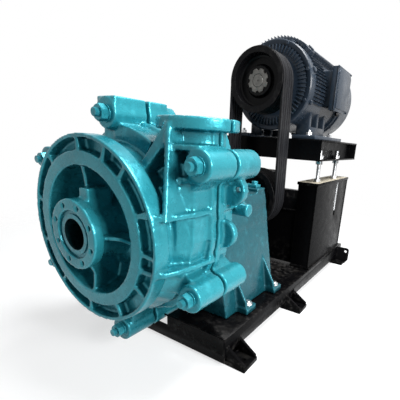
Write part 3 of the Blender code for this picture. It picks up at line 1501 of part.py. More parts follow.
def cooling_fan(parent):
    z = motor_shaft_height
    front = motor_frame_back_depth + 0.060
    bore, rim = motor_shaft_radius + clearance, fan_radius - 0.02
    hub = turned([(bore, front), (rim, front), (rim, front + 0.006), (0.060, front + 0.008), (0.055, front + 0.050),
                  (bore, front + 0.050)],
                 0, z, shaft_segments)
    blades = []
    for step in range(5):
        blade = box(0.050, fan_radius, place(front + 0.003), place(front + 0.055), z - 0.003, z + 0.003)
        blades.append(turn_about(blade, 2 * pi * step / 5, 0, z))
    unite(hub, *blades)
    return finish(hub, "cooling_fan", motor_grey, parent)


def eyebolt(parent):
    z = motor_shaft_height + eye_seat_height + clearance
    base = rod((0, place(eye_depth), z), "Z", 0.008, 0.020, 12)
    shank = rod((0, place(eye_depth), z - 0.022), "Z", 0.026, eye_shank_radius)
    ring_mesh = turned([(0.017 + 0.006 + 0.006 * cos(2 * pi * step / 6), eye_depth + 0.006 * sin(2 * pi * step / 6))
                        for step in range(6)], 0, z + 0.030, 14)
    unite(base, shank, ring_mesh)
    turn_about(base, radians(eye_angle - 90), 0, motor_shaft_height)
    return finish(base, "motor_eyebolt", zinc, parent)


# Assembly

pump_axis = anchor("pump_rotor_axis", 0, pulley_front_depth, shaft_height)
motor_slide = anchor("motor_slide", 0, platform_front_depth, platform_top)
motor_axis = anchor("motor_rotor_axis", 0, pulley_front_depth, motor_shaft_height)
bpy.context.view_layer.update()

base_frame()
column(-1, "column_left")
column(1, "column_right")
column_tie_beam()
jacking_studs()
bearing_bracket()
bracket_foot_bolts()
bearing_housing()
bearing("front_bearing", bearing_front_depth + clearance)
bearing("rear_bearing", bearing_back_depth - bearing_width - clearance)
bearing_cover("front_bearing_cover", bearing_front_depth - clearance - bearing_cover_thickness, True)
bearing_cover("rear_bearing_cover", bearing_back_depth + clearance, False)
bearing_clamps()
casing_half("front", "front_casing_half")
casing_half("rear", "rear_casing_half")
casing_studs()
volute_liner()
throat_bush()
back_liner()
stuffing_box()
seal_rings()
gland()
v_belts()

impeller(pump_axis)
pump_shaft(pump_axis)
shaft_sleeve(pump_axis)
pulley("pump_pulley", 0, shaft_height, pump_pulley_radius, pump_axis)
taper_bush("pump_taper_bush", 0, shaft_height, pump_axis)

motor_platform(motor_slide)
motor_frame(motor_slide)
motor_shields(motor_slide)
fan_cowl(motor_slide)
terminal_box(motor_slide)
eyebolt(motor_slide)

motor_rotor(motor_axis)
pulley("motor_pulley", 0, motor_shaft_height, motor_pulley_radius, motor_axis)
taper_bush("motor_taper_bush", 0, motor_shaft_height, motor_axis)
cooling_fan(motor_axis)
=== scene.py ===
from math import radians, sin, cos, pi

import bpy
import numpy as np
from mathutils import Vector, Matrix


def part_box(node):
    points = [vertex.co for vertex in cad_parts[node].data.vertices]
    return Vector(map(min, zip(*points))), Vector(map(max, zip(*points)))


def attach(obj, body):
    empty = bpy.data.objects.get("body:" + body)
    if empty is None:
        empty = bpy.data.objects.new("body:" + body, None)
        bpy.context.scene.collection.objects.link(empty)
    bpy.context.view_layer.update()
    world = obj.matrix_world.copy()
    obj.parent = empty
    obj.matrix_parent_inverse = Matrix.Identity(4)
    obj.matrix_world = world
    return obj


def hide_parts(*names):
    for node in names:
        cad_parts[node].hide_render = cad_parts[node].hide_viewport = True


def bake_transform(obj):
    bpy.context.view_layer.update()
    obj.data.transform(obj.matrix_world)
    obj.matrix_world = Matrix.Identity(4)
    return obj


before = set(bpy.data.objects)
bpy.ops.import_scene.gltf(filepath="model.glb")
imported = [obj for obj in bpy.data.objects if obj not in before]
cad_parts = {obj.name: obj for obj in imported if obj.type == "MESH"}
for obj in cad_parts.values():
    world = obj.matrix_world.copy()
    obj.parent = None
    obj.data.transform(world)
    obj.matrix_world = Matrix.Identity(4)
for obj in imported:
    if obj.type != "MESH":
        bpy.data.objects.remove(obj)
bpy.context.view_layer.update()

print("stage: frame loaded,", len(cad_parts), "nodes")

# layout of the pump, in metres; depths are measured back from the suction face
pump = {"faceY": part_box("front_casing_half")[0][1], "shaftZ": 0.55, "seam": 0.286, "dischargeX": 0.27,
        "motorZ": 1.178, "pulleyFront": 1.073, "pulleyBack": 1.209, "pumpPulley": 0.168, "motorPulley": 0.160}


def depthY(depth):
    return pump["faceY"] + depth


# camera, fitted to the photograph's frame
view = {"x": 0.955, "ahead": 0.5336, "z": 0.8583, "yaw": 30.63, "pitch": 18.05, "roll": 3.416,
        "lens": 28.35, "shift": (-0.1158, 0.1130)}


def makeCamera():
    yaw, pitch, roll = radians(view["yaw"]), radians(view["pitch"]), radians(view["roll"])
    forward = Vector((-sin(yaw) * cos(pitch), cos(yaw) * cos(pitch), -sin(pitch)))
    right = Vector((cos(yaw), sin(yaw), 0))
    up = right.cross(forward)
    side = cos(roll) * right + sin(roll) * up
    top = -sin(roll) * right + cos(roll) * up
    lookMatrix = Matrix((side, top, -forward)).transposed().to_4x4()
    bpy.ops.object.camera_add(location=(view["x"], pump["faceY"] - view["ahead"], view["z"]))
    camera = bpy.context.object
    camera.name = "photoCamera"
    camera.rotation_mode = "QUATERNION"
    camera.rotation_quaternion = lookMatrix.to_quaternion()
    camera.data.lens = view["lens"]
    camera.data.sensor_width = 36
    camera.data.shift_x, camera.data.shift_y = view["shift"]
    camera.data.clip_end = 60
    bpy.context.scene.camera = camera


makeCamera()

# studio: a pale floor that fades out into a white surround, and soft lamps
studio = {"floorSize": 12, "floorColour": (0.34, 0.345, 0.35), "floorGlow": 0.66, "fadeFrom": 1.5, "fadeTo": 3.2,
          "ambient": 0.08}


def seenDirectly(nodes, links):           # 1 for what the camera sees straight, in a mirror or through glass
    path = nodes.new("ShaderNodeLightPath")
    total = path.outputs["Is Camera Ray"]
    for ray in ("Is Glossy Ray", "Is Transmission Ray"):
        either = nodes.new("ShaderNodeMath")
        either.operation = "MAXIMUM"
        links.new(total, either.inputs[0])
        links.new(path.outputs[ray], either.inputs[1])
        total = either.outputs[0]
    return total


def makeWorld():
    world = bpy.data.worlds.new("studioAir")
    bpy.context.scene.world = world
    world.use_nodes = True
    nodes, links = world.node_tree.nodes, world.node_tree.links
    nodes.clear()
    out = nodes.new("ShaderNodeOutputWorld")
    seen = nodes.new("ShaderNodeBackground")
    seen.inputs["Color"].default_value = (1, 1, 1, 1)
    air = nodes.new("ShaderNodeBackground")
    air.inputs["Color"].default_value = (0.93, 0.97, 1.0, 1)
    air.inputs["Strength"].default_value = studio["ambient"]
    pick = nodes.new("ShaderNodeMixShader")
    links.new(seenDirectly(nodes, links), pick.inputs[0])
    links.new(air.outputs[0], pick.inputs[1])
    links.new(seen.outputs[0], pick.inputs[2])
    links.new(pick.outputs[0], out.inputs["Surface"])


def makeFloor():
    bpy.ops.object.select_all(action="DESELECT")
    bpy.ops.mesh.primitive_plane_add(size=studio["floorSize"], location=(0, 0, -0.0006))
    floorPlane = bpy.context.object
    floorPlane.name = "studioFloor"
    bpy.ops.object.transform_apply(location=True, rotation=True, scale=True)
    paint = bpy.data.materials.new("studioFloorPaint")
    paint.use_nodes = True
    nodes, links = paint.node_tree.nodes, paint.node_tree.links
    shader = nodes["Principled BSDF"]
    shader.inputs["Base Color"].default_value = (*studio["floorColour"], 1)
    shader.inputs["Roughness"].default_value = 0.85
    shader.inputs["Specular IOR Level"].default_value = 0.2
    shader.inputs["Emission Color"].default_value = (1, 1, 1, 1)
    glow = nodes.new("ShaderNodeMath")
    glow.operation = "MULTIPLY"
    glow.inputs[1].default_value = studio["floorGlow"]
    links.new(seenDirectly(nodes, links), glow.inputs[0])
    links.new(glow.outputs[0], shader.inputs["Emission Strength"])
    spot = nodes.new("ShaderNodeTexCoord")
    reach = nodes.new("ShaderNodeVectorMath")
    reach.operation = "LENGTH"
    fade = nodes.new("ShaderNodeMapRange")
    fade.interpolation_type = "SMOOTHSTEP"
    fade.inputs["From Min"].default_value = studio["fadeFrom"]
    fade.inputs["From Max"].default_value = studio["fadeTo"]
    clear = nodes.new("ShaderNodeBsdfTransparent")
    pick = nodes.new("ShaderNodeMixShader")
    links.new(spot.outputs["Object"], reach.inputs[0])
    links.new(reach.outputs["Value"], fade.inputs["Value"])
    links.new(fade.outputs[0], pick.inputs[0])
    links.new(shader.outputs[0], pick.inputs[1])
    links.new(clear.outputs[0], pick.inputs[2])
    links.new(pick.outputs[0], nodes["Material Output"].inputs["Surface"])
    floorPlane.data.materials.append(paint)


# name, place, what it points at, size and power
lamps = [("overheadPanel", (1.0, 0.2, 3.7), (0.0, -0.1, 0.6), 1.5, 215),
         ("rightPanel", (3.7, -1.0, 2.0), (0.1, -0.4, 0.6), 1.3, 215),
         ("frontPanel", (-0.6, -4.4, 2.6), (0.0, -0.4, 0.6), 1.8, 6),
         ("rearPanel", (-2.6, 2.6, 2.8), (0.0, 0.2, 0.8), 2.0, 30)]


def makeLamps():
    for name, place, aim, size, power in lamps:
        bpy.ops.object.light_add(type="AREA", location=place)
        lamp = bpy.context.object
        lamp.name = name
        lamp.data.size = size
        lamp.data.energy = power
        lamp.rotation_mode = "QUATERNION"
        lamp.rotation_quaternion = (Vector(place) - Vector(aim)).to_track_quat("Z", "Y")


makeWorld()
makeFloor()
makeLamps()
bpy.context.scene.view_settings.view_transform = "Standard"
print("stage: camera, floor and lamps")


# materials: a chain of noise patterns on object coordinates feeds colour, gloss and relief
class Finish:
    def __init__(self, name, colour, roughness, metallic=0.0):
        self.material = bpy.data.materials.new(name)
        self.material.use_nodes = True
        self.nodes, self.links = self.material.node_tree.nodes, self.material.node_tree.links
        self.shader = self.nodes["Principled BSDF"]
        self.shader.inputs["Metallic"].default_value = metallic
        self.coords = self.nodes.new("ShaderNodeTexCoord").outputs["Object"]
        self.colour = self.plain(colour)
        self.gloss = None
        self.baseRoughness = roughness
        self.relief = None

    def plain(self, colour):
        node = self.nodes.new("ShaderNodeRGB")
        node.outputs[0].default_value = (*colour, 1)
        return node.outputs[0]

    def noise(self, scale, detail=3.0, stretch=(1, 1, 1), roughness=0.5):
        move = self.nodes.new("ShaderNodeMapping")
        move.inputs["Scale"].default_value = stretch
        self.links.new(self.coords, move.inputs["Vector"])
        node = self.nodes.new("ShaderNodeTexNoise")
        node.inputs["Scale"].default_value = scale
        node.inputs["Detail"].default_value = detail
        node.inputs["Roughness"].default_value = roughness
        self.links.new(move.outputs[0], node.inputs["Vector"])
        return node.outputs["Fac"]

    def spots(self, scale):
        node = self.nodes.new("ShaderNodeTexVoronoi")
        node.inputs["Scale"].default_value = scale
        self.links.new(self.coords, node.inputs["Vector"])
        return node.outputs["Distance"]

    def ramp(self, value, low, high, start=0.0, end=1.0):
        node = self.nodes.new("ShaderNodeMapRange")
        node.inputs["From Min"].default_value = low
        node.inputs["From Max"].default_value = high
        node.inputs["To Min"].default_value = start
        node.inputs["To Max"].default_value = end
        self.links.new(value, node.inputs["Value"])
        return node.outputs[0]

    def times(self, first, second):
        node = self.nodes.new("ShaderNodeMath")
        node.operation = "MULTIPLY"
        self.links.new(first, node.inputs[0])
        self.links.new(second, node.inputs[1])
        return node.outputs[0]

    def tint(self, mask, colour):
        node = self.nodes.new("ShaderNodeMix")
        node.data_type = "RGBA"
        self.links.new(mask, node.inputs[0])
        self.links.new(self.colour, node.inputs[6])
        node.inputs[7].default_value = (*colour, 1)
        self.colour = node.outputs[2]

    def edges(self, low, high):
        node = self.nodes.new("ShaderNodeNewGeometry")
        return self.ramp(node.outputs["Pointiness"], low, high)

    def facingUp(self, low=0.6, high=0.95):
        node = self.nodes.new("ShaderNodeNewGeometry")
        split = self.nodes.new("ShaderNodeSeparateXYZ")
        self.links.new(node.outputs["Normal"], split.inputs[0])
        return self.ramp(split.outputs["Z"], low, high)

    def awayFrom(self, centre, axes):     # distance from a line
        step = self.nodes.new("ShaderNodeVectorMath")
        step.operation = "SUBTRACT"
        step.inputs[1].default_value = centre
        flat = self.nodes.new("ShaderNodeVectorMath")
        flat.operation = "MULTIPLY"
        flat.inputs[1].default_value = axes
        reach = self.nodes.new("ShaderNodeVectorMath")
        reach.operation = "LENGTH"
        self.links.new(self.coords, step.inputs[0])
        self.links.new(step.outputs[0], flat.inputs[0])
        self.links.new(flat.outputs[0], reach.inputs[0])
        return reach.outputs["Value"]

    def bump(self, value, distance, strength=1.0):
        node = self.nodes.new("ShaderNodeBump")
        node.inputs["Distance"].default_value = distance
        node.inputs["Strength"].default_value = strength
        self.links.new(value, node.inputs["Height"])
        if self.relief is not None:
            self.links.new(self.relief, node.inputs["Normal"])
        self.relief = node.outputs["Normal"]

    def vary(self, value, low, high):
        self.gloss = self.ramp(value, 0.3, 0.7, low, high)

    def done(self, coat=0.0, coatRoughness=0.1, shine=0.5):
        self.links.new(self.colour, self.shader.inputs["Base Color"])
        if self.gloss is None:
            self.shader.inputs["Roughness"].default_value = self.baseRoughness
        else:
            self.links.new(self.gloss, self.shader.inputs["Roughness"])
        if self.relief is not None:
            self.links.new(self.relief, self.shader.inputs["Normal"])
        self.shader.inputs["Specular IOR Level"].default_value = shine
        self.shader.inputs["Coat Weight"].default_value = coat
        self.shader.inputs["Coat Roughness"].default_value = coatRoughness
        return self.material


def castPaint(name, colour, deep, pale, boreRadius=0):   # thick gloss paint on a sand casting, with painted shade in its inner corners
    f = Finish(name, colour, 0.3, 0.42)
    f.tint(f.ramp(f.noise(4.0, 4.0), 0.42, 0.70, 0.0, 0.6), deep)
    f.tint(f.ramp(f.noise(34.0, 5.0), 0.55, 0.80, 0.0, 0.30), pale)
    # painted shade: inner corners (low pointiness) take half the deep colour
    f.tint(f.times(f.edges(0.495, 0.42), f.ramp(f.noise(12.0), 0.3, 0.7, 0.3, 0.85)), tuple(c * 0.5 for c in deep))
    f.tint(f.times(f.edges(0.515, 0.60), f.ramp(f.noise(50.0), 0.42, 0.65, 0.05, 0.55)), pale)
    f.tint(f.times(f.facingUp(0.80, 1.0), f.ramp(f.noise(22.0, 6.0), 0.52, 0.80, 0.0, 0.24)), (0.36, 0.46, 0.44))
    f.bump(f.noise(15.0, 4.0), 0.005, 0.40)
    f.bump(f.noise(150.0, 3.0), 0.0009, 0.60)
    f.bump(f.noise(520.0, 2.0), 0.0003, 0.5)
    f.vary(f.noise(26.0, 4.0), 0.17, 0.40)
    if boreRadius:                        # near-black teal inside the bore's radius
        reach = f.awayFrom((0, 0, pump["shaftZ"]), (1, 0, 1))
        f.tint(f.ramp(reach, boreRadius + 0.001, boreRadius), (0.004, 0.030, 0.038))
    return f.done(0.12, 0.10, 0.24)


def framePaint(name, colour, dust, coat=0.04, shine=0.22):  # brushed enamel on rolled steel, dusty on top
    f = Finish(name, colour, 0.3)
    f.tint(f.ramp(f.noise(7.0, 4.0), 0.50, 0.80, 0.0, 0.45), tuple(c * 1.6 for c in colour))
    f.tint(f.times(f.edges(0.53, 0.64), f.ramp(f.noise(40.0), 0.5, 0.7, 0.0, 0.4)), (0.10, 0.095, 0.09))
    f.tint(f.times(f.facingUp(0.85, 1.0), f.ramp(f.noise(18.0, 6.0), 0.52, 0.78, 0.0, dust)), (0.20, 0.185, 0.155))
    f.bump(f.noise(40.0, 3.0), 0.0010, 0.25)
    f.bump(f.noise(320.0, 2.0), 0.0003, 0.30)
    f.vary(f.noise(20.0, 4.0), 0.20, 0.38)
    return f.done(coat, 0.10, shine)


def bareMetal(name, colour, roughness, stretch=(1, 1, 1), metallic=1.0):
    f = Finish(name, colour, roughness, metallic)
    f.tint(f.ramp(f.noise(30.0, 5.0), 0.45, 0.75, 0.0, 0.6), tuple(c * 0.55 for c in colour))
    # painted shade: inner corners (low pointiness) darken to a quarter of the colour
    f.tint(f.times(f.edges(0.50, 0.44), f.ramp(f.noise(24.0), 0.3, 0.7, 0.2, 0.9)), tuple(c * 0.25 for c in colour))
    f.bump(f.noise(260.0, 3.0, stretch), 0.0005, 0.5)
    f.vary(f.noise(45.0, 4.0, stretch), roughness * 0.75, roughness * 1.5)
    return f.done()


def beltRubber(name):                     # black rubber with pale scuffs that run along the belt
    f = Finish(name, (0.006, 0.006, 0.007), 0.6)
    f.tint(f.ramp(f.noise(3.0, 6.0, (1, 90, 1)), 0.50, 0.72, 0.0, 0.65), (0.034, 0.037, 0.042))
    f.tint(f.ramp(f.noise(2.2, 4.0, (3, 260, 3)), 0.58, 0.72, 0.0, 0.45), (0.085, 0.09, 0.10))
    f.tint(f.ramp(f.noise(28.0, 5.0), 0.60, 0.85, 0.0, 0.08), (0.085, 0.072, 0.055))
    f.bump(f.noise(6.0, 3.0, (1, 120, 1)), 0.0008, 0.5)
    f.bump(f.noise(500.0, 2.0), 0.0003, 0.5)
    f.vary(f.noise(30.0), 0.38, 0.62)
    return f.done(0.0, 0.3, 0.15)


def fibreFinish():
    f = Finish("packingFibre", (0.17, 0.15, 0.11), 0.9)
    f.tint(f.ramp(f.spots(260.0), 0.2, 0.6, 0.0, 0.8), (0.05, 0.045, 0.035))
    f.bump(f.spots(260.0), 0.001, 0.8)
    f.vary(f.noise(60.0), 0.75, 0.95)
    return f.done()


def groundDust():                         # pale dried slurry on the column heads, worn through in patches
    f = Finish("driedSlurry", (0.36, 0.325, 0.25), 0.85)
    f.tint(f.ramp(f.noise(30.0, 6.0), 0.48, 0.66, 0.0, 0.8), (0.14, 0.125, 0.10))
    f.tint(f.ramp(f.noise(75.0, 5.0), 0.60, 0.72, 0.0, 0.8), (0.014, 0.014, 0.015))
    f.tint(f.ramp(f.noise(12.0, 3.0), 0.56, 0.70, 0.0, 0.7), (0.46, 0.42, 0.34))
    f.bump(f.noise(60.0, 5.0), 0.002, 0.7)
    f.vary(f.noise(60.0), 0.6, 0.95)
    return f.done()


finishes = {
    "teal": castPaint("tealCastPaint", (0.022, 0.255, 0.310), (0.008, 0.105, 0.140), (0.085, 0.54, 0.64)),
    # the bearing bracket's teal, darkened as painted shade
    "shadedPedestal": castPaint("pedestalShadedPaint", (0.008, 0.088, 0.112), (0.004, 0.042, 0.058), (0.040, 0.30, 0.37)),
    "throat": castPaint("throatPaint", (0.016, 0.190, 0.235), (0.007, 0.090, 0.120), (0.05, 0.38, 0.46), 0.0515),
    "black": framePaint("blackFramePaint", (0.0018, 0.0018, 0.0021), 0.035, 0.0, 0.03),
    "motor": framePaint("motorPaint", (0.017, 0.026, 0.039), 0.04, 0.05, 0.16),
    "iron": framePaint("blackenedIron", (0.0040, 0.0040, 0.0046), 0.06, 0.0, 0.08),
    "liner": framePaint("linerIron", (0.004, 0.0045, 0.005), 0.05, 0.0, 0.15),
    "wet": bareMetal("castIron", (0.05, 0.05, 0.053), 0.55, metallic=0.6),
    "steel": bareMetal("turnedSteel", (0.50, 0.50, 0.52), 0.30),
    "bush": bareMetal("bushSteel", (0.15, 0.145, 0.135), 0.55, metallic=0.6),
    "zinc": bareMetal("zincPlate", (0.62, 0.63, 0.64), 0.30),
    "brass": bareMetal("gunmetal", (0.52, 0.36, 0.14), 0.34),
    "belt": beltRubber("beltRubber"),
    "fibre": fibreFinish(),
    "dust": groundDust(),
}


def finishOf(node):
    if node.startswith("v_belt"):
        return "belt"
    if node in ("base_frame", "column_left", "column_right", "column_tie_beam", "motor_platform"):
        return "black"
    if node in ("pump_pulley", "motor_pulley"):
        return "iron"
    if node in ("pump_taper_bush", "motor_taper_bush"):
        return "bush"
    if node in ("volute_liner", "frame_plate_liner"):
        return "liner"
    if node in ("impeller", "throat_bush", "packing_gland"):
        return "wet"
    if node in ("pump_shaft", "shaft_sleeve", "front_bearing", "rear_bearing"):
        return "steel"
    if node == "motor_shaft":
        return "bush"
    if node.startswith("jacking_stud") or node.startswith("bracket_foot_bolt"):
        return "zinc"
    if node in ("lantern_ring", "cable_gland"):
        return "brass"
    if node in ("packing_inner", "packing_outer"):
        return "fibre"
    if node.startswith("motor_") or node in ("fan_cowl", "cooling_fan", "terminal_box", "terminal_box_cover"):
        return "motor"
    if node == "bearing_bracket":
        return "shadedPedestal"
    return "teal"


for nodeName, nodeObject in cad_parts.items():
    nodeObject.data.materials.clear()
    nodeObject.data.materials.append(finishes[finishOf(nodeName)])
print("stage: finishes")


# tools for pieces
def only(piece):
    if bpy.context.object and bpy.context.object.mode != "OBJECT":
        bpy.ops.object.mode_set(mode="OBJECT")
    bpy.ops.object.select_all(action="DESELECT")
    piece.select_set(True)
    bpy.context.view_layer.objects.active = piece


def applyAll(piece):
    only(piece)
    for modifier in list(piece.modifiers):
        bpy.ops.object.modifier_apply(modifier=modifier.name)


def settled(piece, name):                 # place, turn and size go into the mesh
    only(piece)
    bpy.ops.object.transform_apply(location=True, rotation=True, scale=True)
    piece.name = name
    return piece


def facing(axis):
    return {"X": (0, pi / 2, 0), "Y": (pi / 2, 0, 0), "Z": (0, 0, 0)}[axis]


def disc(name, sides, radius, length, place, axis="Y"):
    bpy.ops.object.select_all(action="DESELECT")
    bpy.ops.mesh.primitive_cylinder_add(vertices=sides, radius=radius, depth=length, location=place,
                                        rotation=facing(axis))
    return settled(bpy.context.object, name)


def slab(name, low, high):
    bpy.ops.object.select_all(action="DESELECT")
    middle = [(a + b) / 2 for a, b in zip(low, high)]
    bpy.ops.mesh.primitive_cube_add(size=1, location=middle)
    bpy.context.object.scale = [b - a for a, b in zip(low, high)]
    return settled(bpy.context.object, name)


def turned(name, profile, centre, sides=96):   # profile of (radius, depth) swung about the line X, Z = centre
    bpy.ops.object.select_all(action="DESELECT")
    bpy.ops.mesh.primitive_circle_add(vertices=len(profile), radius=1, fill_type="NOTHING")
    piece = bpy.context.object
    x, z = centre
    points = [c for radius, depth in profile for c in (x + radius, depthY(depth), z)]
    piece.matrix_world = Matrix.Identity(4)
    piece.data.vertices.foreach_set("co", points)
    bpy.ops.object.mode_set(mode="EDIT")
    bpy.ops.mesh.select_all(action="SELECT")
    bpy.ops.mesh.spin(steps=sides, angle=2 * pi, center=(x, 0, z), axis=(0, 1, 0), use_auto_merge=True)
    bpy.ops.mesh.select_all(action="SELECT")
    bpy.ops.mesh.remove_doubles(threshold=0.00002)
    bpy.ops.mesh.dissolve_degenerate(threshold=0.00001)
    bpy.ops.mesh.select_all(action="SELECT")
    bpy.ops.mesh.normals_make_consistent(inside=False)
    bpy.ops.object.mode_set(mode="OBJECT")
    piece.name = name
    return piece


def joined(name, pieces):
    bpy.ops.object.select_all(action="DESELECT")
    for piece in pieces:
        piece.select_set(True)
    bpy.context.view_layer.objects.active = pieces[0]
    bpy.ops.object.join()
    pieces[0].name = name
    return pieces[0]


def copied(piece, matrix, name="copy"):
    twin = bpy.data.objects.new(name, piece.data.copy())
    bpy.context.scene.collection.objects.link(twin)
    twin.data.transform(matrix)
    return twin


def dropped(*pieces):
    for piece in pieces:
        bpy.data.objects.remove(piece, do_unlink=True)


def combined(piece, operation, *others):
    for other in others:
        step = piece.modifiers.new("cut", "BOOLEAN")
        step.operation = operation
        step.solver = "EXACT"
        step.object = other
    applyAll(piece)
    dropped(*others)
    return piece


def softEdges(piece, width, segments=2, angle=32, smooth=38):
    only(piece)
    bpy.ops.object.mode_set(mode="EDIT")
    bpy.ops.mesh.select_all(action="SELECT")
    bpy.ops.mesh.remove_doubles(threshold=0.00002)
    bpy.ops.mesh.dissolve_limited(angle_limit=radians(0.8))
    bpy.ops.object.mode_set(mode="OBJECT")
    step = piece.modifiers.new("edges", "BEVEL")
    step.width = width
    step.segments = segments
    step.limit_method = "ANGLE"
    step.angle_limit = radians(angle)
    step.use_clamp_overlap = True
    step.harden_normals = False
    applyAll(piece)
    bpy.ops.object.shade_smooth_by_angle(angle=radians(smooth))
    return piece


def nodeCopy(node, name):
    piece = bpy.data.objects.new(name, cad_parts[node].data.copy())
    bpy.context.scene.collection.objects.link(piece)
    only(piece)
    bpy.ops.object.mode_set(mode="EDIT")
    bpy.ops.mesh.select_all(action="SELECT")
    bpy.ops.mesh.remove_doubles(threshold=0.00002)
    bpy.ops.mesh.customdata_custom_splitnormals_clear()
    bpy.ops.object.mode_set(mode="OBJECT")
    return piece


def wear(piece, finish, body, *nodes):
    piece.data.materials.clear()
    piece.data.materials.append(finishes[finish])
    if nodes:
        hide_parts(*nodes)
    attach(piece, body)
    return piece


def trueRound(piece, centre, across, step, phase, least, most, low=-9, high=9):
    points = np.empty(len(piece.data.vertices) * 3)
    piece.data.vertices.foreach_get("co", points)
    points = points.reshape(-1, 3)
    first, second = across
    along = 3 - first - second
    dx, dz = points[:, first] - centre[0], points[:, second] - centre[1]
    radius = np.hypot(dx, dz)
    angle = np.degrees(np.arctan2(dz, dx)) - phase
    off = np.radians(angle % step - step / 2)
    grow = np.cos(off) / cos(radians(step / 2))
    inside = (radius > least) & (radius < most) & (points[:, along] > low) & (points[:, along] < high)
    grow = np.where(inside, grow, 1.0)
    points[:, first] = centre[0] + dx * grow
    points[:, second] = centre[1] + dz * grow
    piece.data.vertices.foreach_set("co", points.ravel())
    piece.data.update()


def castSkin(node, name, voxel):          # a copy of the solid with its corners drawn as a casting's
    piece = nodeCopy(node, name)
    step = piece.modifiers.new("skin", "REMESH")
    step.mode = "VOXEL"
    step.voxel_size = voxel
    applyAll(piece)
    return piece


def soften(piece, factor, turns):
    step = piece.modifiers.new("soft", "SMOOTH")
    step.factor = factor
    step.iterations = turns
    applyAll(piece)
    bpy.ops.object.shade_smooth()


def thinned(piece, most):                 # fewer triangles where a skin has more than its share
    count = sum(len(face.vertices) - 2 for face in piece.data.polygons)
    if count > most:
        step = piece.modifiers.new("fewer", "DECIMATE")
        step.ratio = most / count
        applyAll(piece)


# one nut, one washer and one turn of thread, copied wherever a fastener sits
fastener = {"sides": 40, "chamfer": 0.16, "lensEnd": 0.85, "pitch": 0.0025, "groove": 0.90, "rodSides": 14}


def makeNutShape():                       # a hexagon cut by a lens, which gives the curved chamfers
    corner = 1 / cos(radians(30))
    prism = disc("nutShape", 6, corner, 1, (0, 0, 0), "Z")
    lens = disc("nutLens", fastener["sides"], corner * 1.002, 1.001, (0, 0, 0), "Z")
    bpy.ops.object.mode_set(mode="EDIT")
    for height in (0.5 - fastener["chamfer"], fastener["chamfer"] - 0.5):
        bpy.ops.mesh.select_all(action="SELECT")
        bpy.ops.mesh.bisect(plane_co=(0, 0, height), plane_no=(0, 0, 1))
    bpy.ops.mesh.select_all(action="DESELECT")
    bpy.ops.object.mode_set(mode="OBJECT")
    for vertex in lens.data.vertices:
        vertex.select = abs(vertex.co.z) > 0.49
    bpy.ops.object.mode_set(mode="EDIT")
    bpy.ops.transform.resize(value=(fastener["lensEnd"], fastener["lensEnd"], 1), center_override=(0, 0, 0))
    bpy.ops.object.mode_set(mode="OBJECT")
    combined(prism, "INTERSECT", lens)
    bpy.ops.object.shade_smooth_by_angle(angle=radians(25))
    return prism


nutShape = makeNutShape()
washerShape = softEdges(disc("washerShape", 36, 1, 1, (0, 0, 0), "Z"), 0.08)


def axisTurn(axis):                       # turns what stands along Z to this axis
    turns = {"X": Matrix.Rotation(pi / 2, 4, "Y"), "Y": Matrix.Rotation(-pi / 2, 4, "X")}
    return turns.get(axis, Matrix.Identity(4))


def laid(shape, name, place, axis, wide, high, turn=0):
    matrix = Matrix.Translation(place) @ axisTurn(axis) @ Matrix.Rotation(radians(turn), 4, "Z")
    return copied(shape, matrix @ Matrix.Diagonal((wide, wide, high, 1)), name)


def threaded(name, start, axis, length, radius):   # rod with real thread rings, capped at both ends
    pitch = fastener["pitch"]
    turns = max(2, round(length / pitch))
    bpy.ops.object.select_all(action="DESELECT")
    bpy.ops.mesh.primitive_cylinder_add(vertices=fastener["rodSides"], radius=radius * fastener["groove"], depth=1,
                                        location=(0, 0, 0.5), end_fill_type="NOTHING")
    piece = settled(bpy.context.object, name)
    bpy.ops.object.mode_set(mode="EDIT")
    bpy.ops.mesh.select_all(action="SELECT")
    bpy.ops.mesh.bisect(plane_co=(0, 0, 0.5), plane_no=(0, 0, 1))
    bpy.ops.transform.resize(value=(1 / fastener["groove"], 1 / fastener["groove"], 1),
                             center_override=(0, 0, 0.5))
    bpy.ops.object.mode_set(mode="OBJECT")
    step = piece.modifiers.new("turns", "ARRAY")
    step.count = turns
    step.use_relative_offset = False
    step.use_constant_offset = True
    step.constant_offset_displace = (0, 0, 1)
    step.use_merge_vertices = True
    applyAll(piece)
    bpy.ops.object.mode_set(mode="EDIT")
    bpy.ops.mesh.select_all(action="DESELECT")
    bpy.ops.mesh.select_mode(type="EDGE")
    bpy.ops.mesh.select_non_manifold()
    bpy.ops.mesh.fill_holes(sides=0)
    bpy.ops.mesh.select_mode(type="VERT")
    bpy.ops.mesh.select_all(action="SELECT")
    bpy.ops.mesh.normals_make_consistent(inside=False)
    bpy.ops.object.mode_set(mode="OBJECT")
    piece.data.transform(Matrix.Translation(start) @ axisTurn(axis) @ Matrix.Diagonal((1, 1, length / turns, 1)))
    bpy.ops.object.shade_smooth_by_angle(angle=radians(20))
    return piece


# split casing: cast skins over both halves, rounded where the castings are turned
casing = {"voxel": 0.0046, "shift": 0.012, "smooth": 0.5, "turns": 2, "triangles": 192000, "hub": 0.02,
          "dish": 0.262, "rim": 0.3215, "drumStep": 360 / 28, "lip": (0.345, 0.362), "lipDepths": (0.25, 0.33),
          "lipStep": 292 / 19, "lipStart": 68, "barrel": 0.0495, "barrelStep": 30, "neck": (0.045, 0.088),
          "neckStep": 22.5, "flange": (0.09, 0.135), "flangeStep": 360 / 22,
          "studs": ((90, 0.372), (152, 0.430), (210, 0.452), (270, 0.418), (333, 0.392), (32, 0.449))}
studCentres = [(d * cos(radians(a)), pump["shaftZ"] + d * sin(radians(a))) for a, d in casing["studs"]]


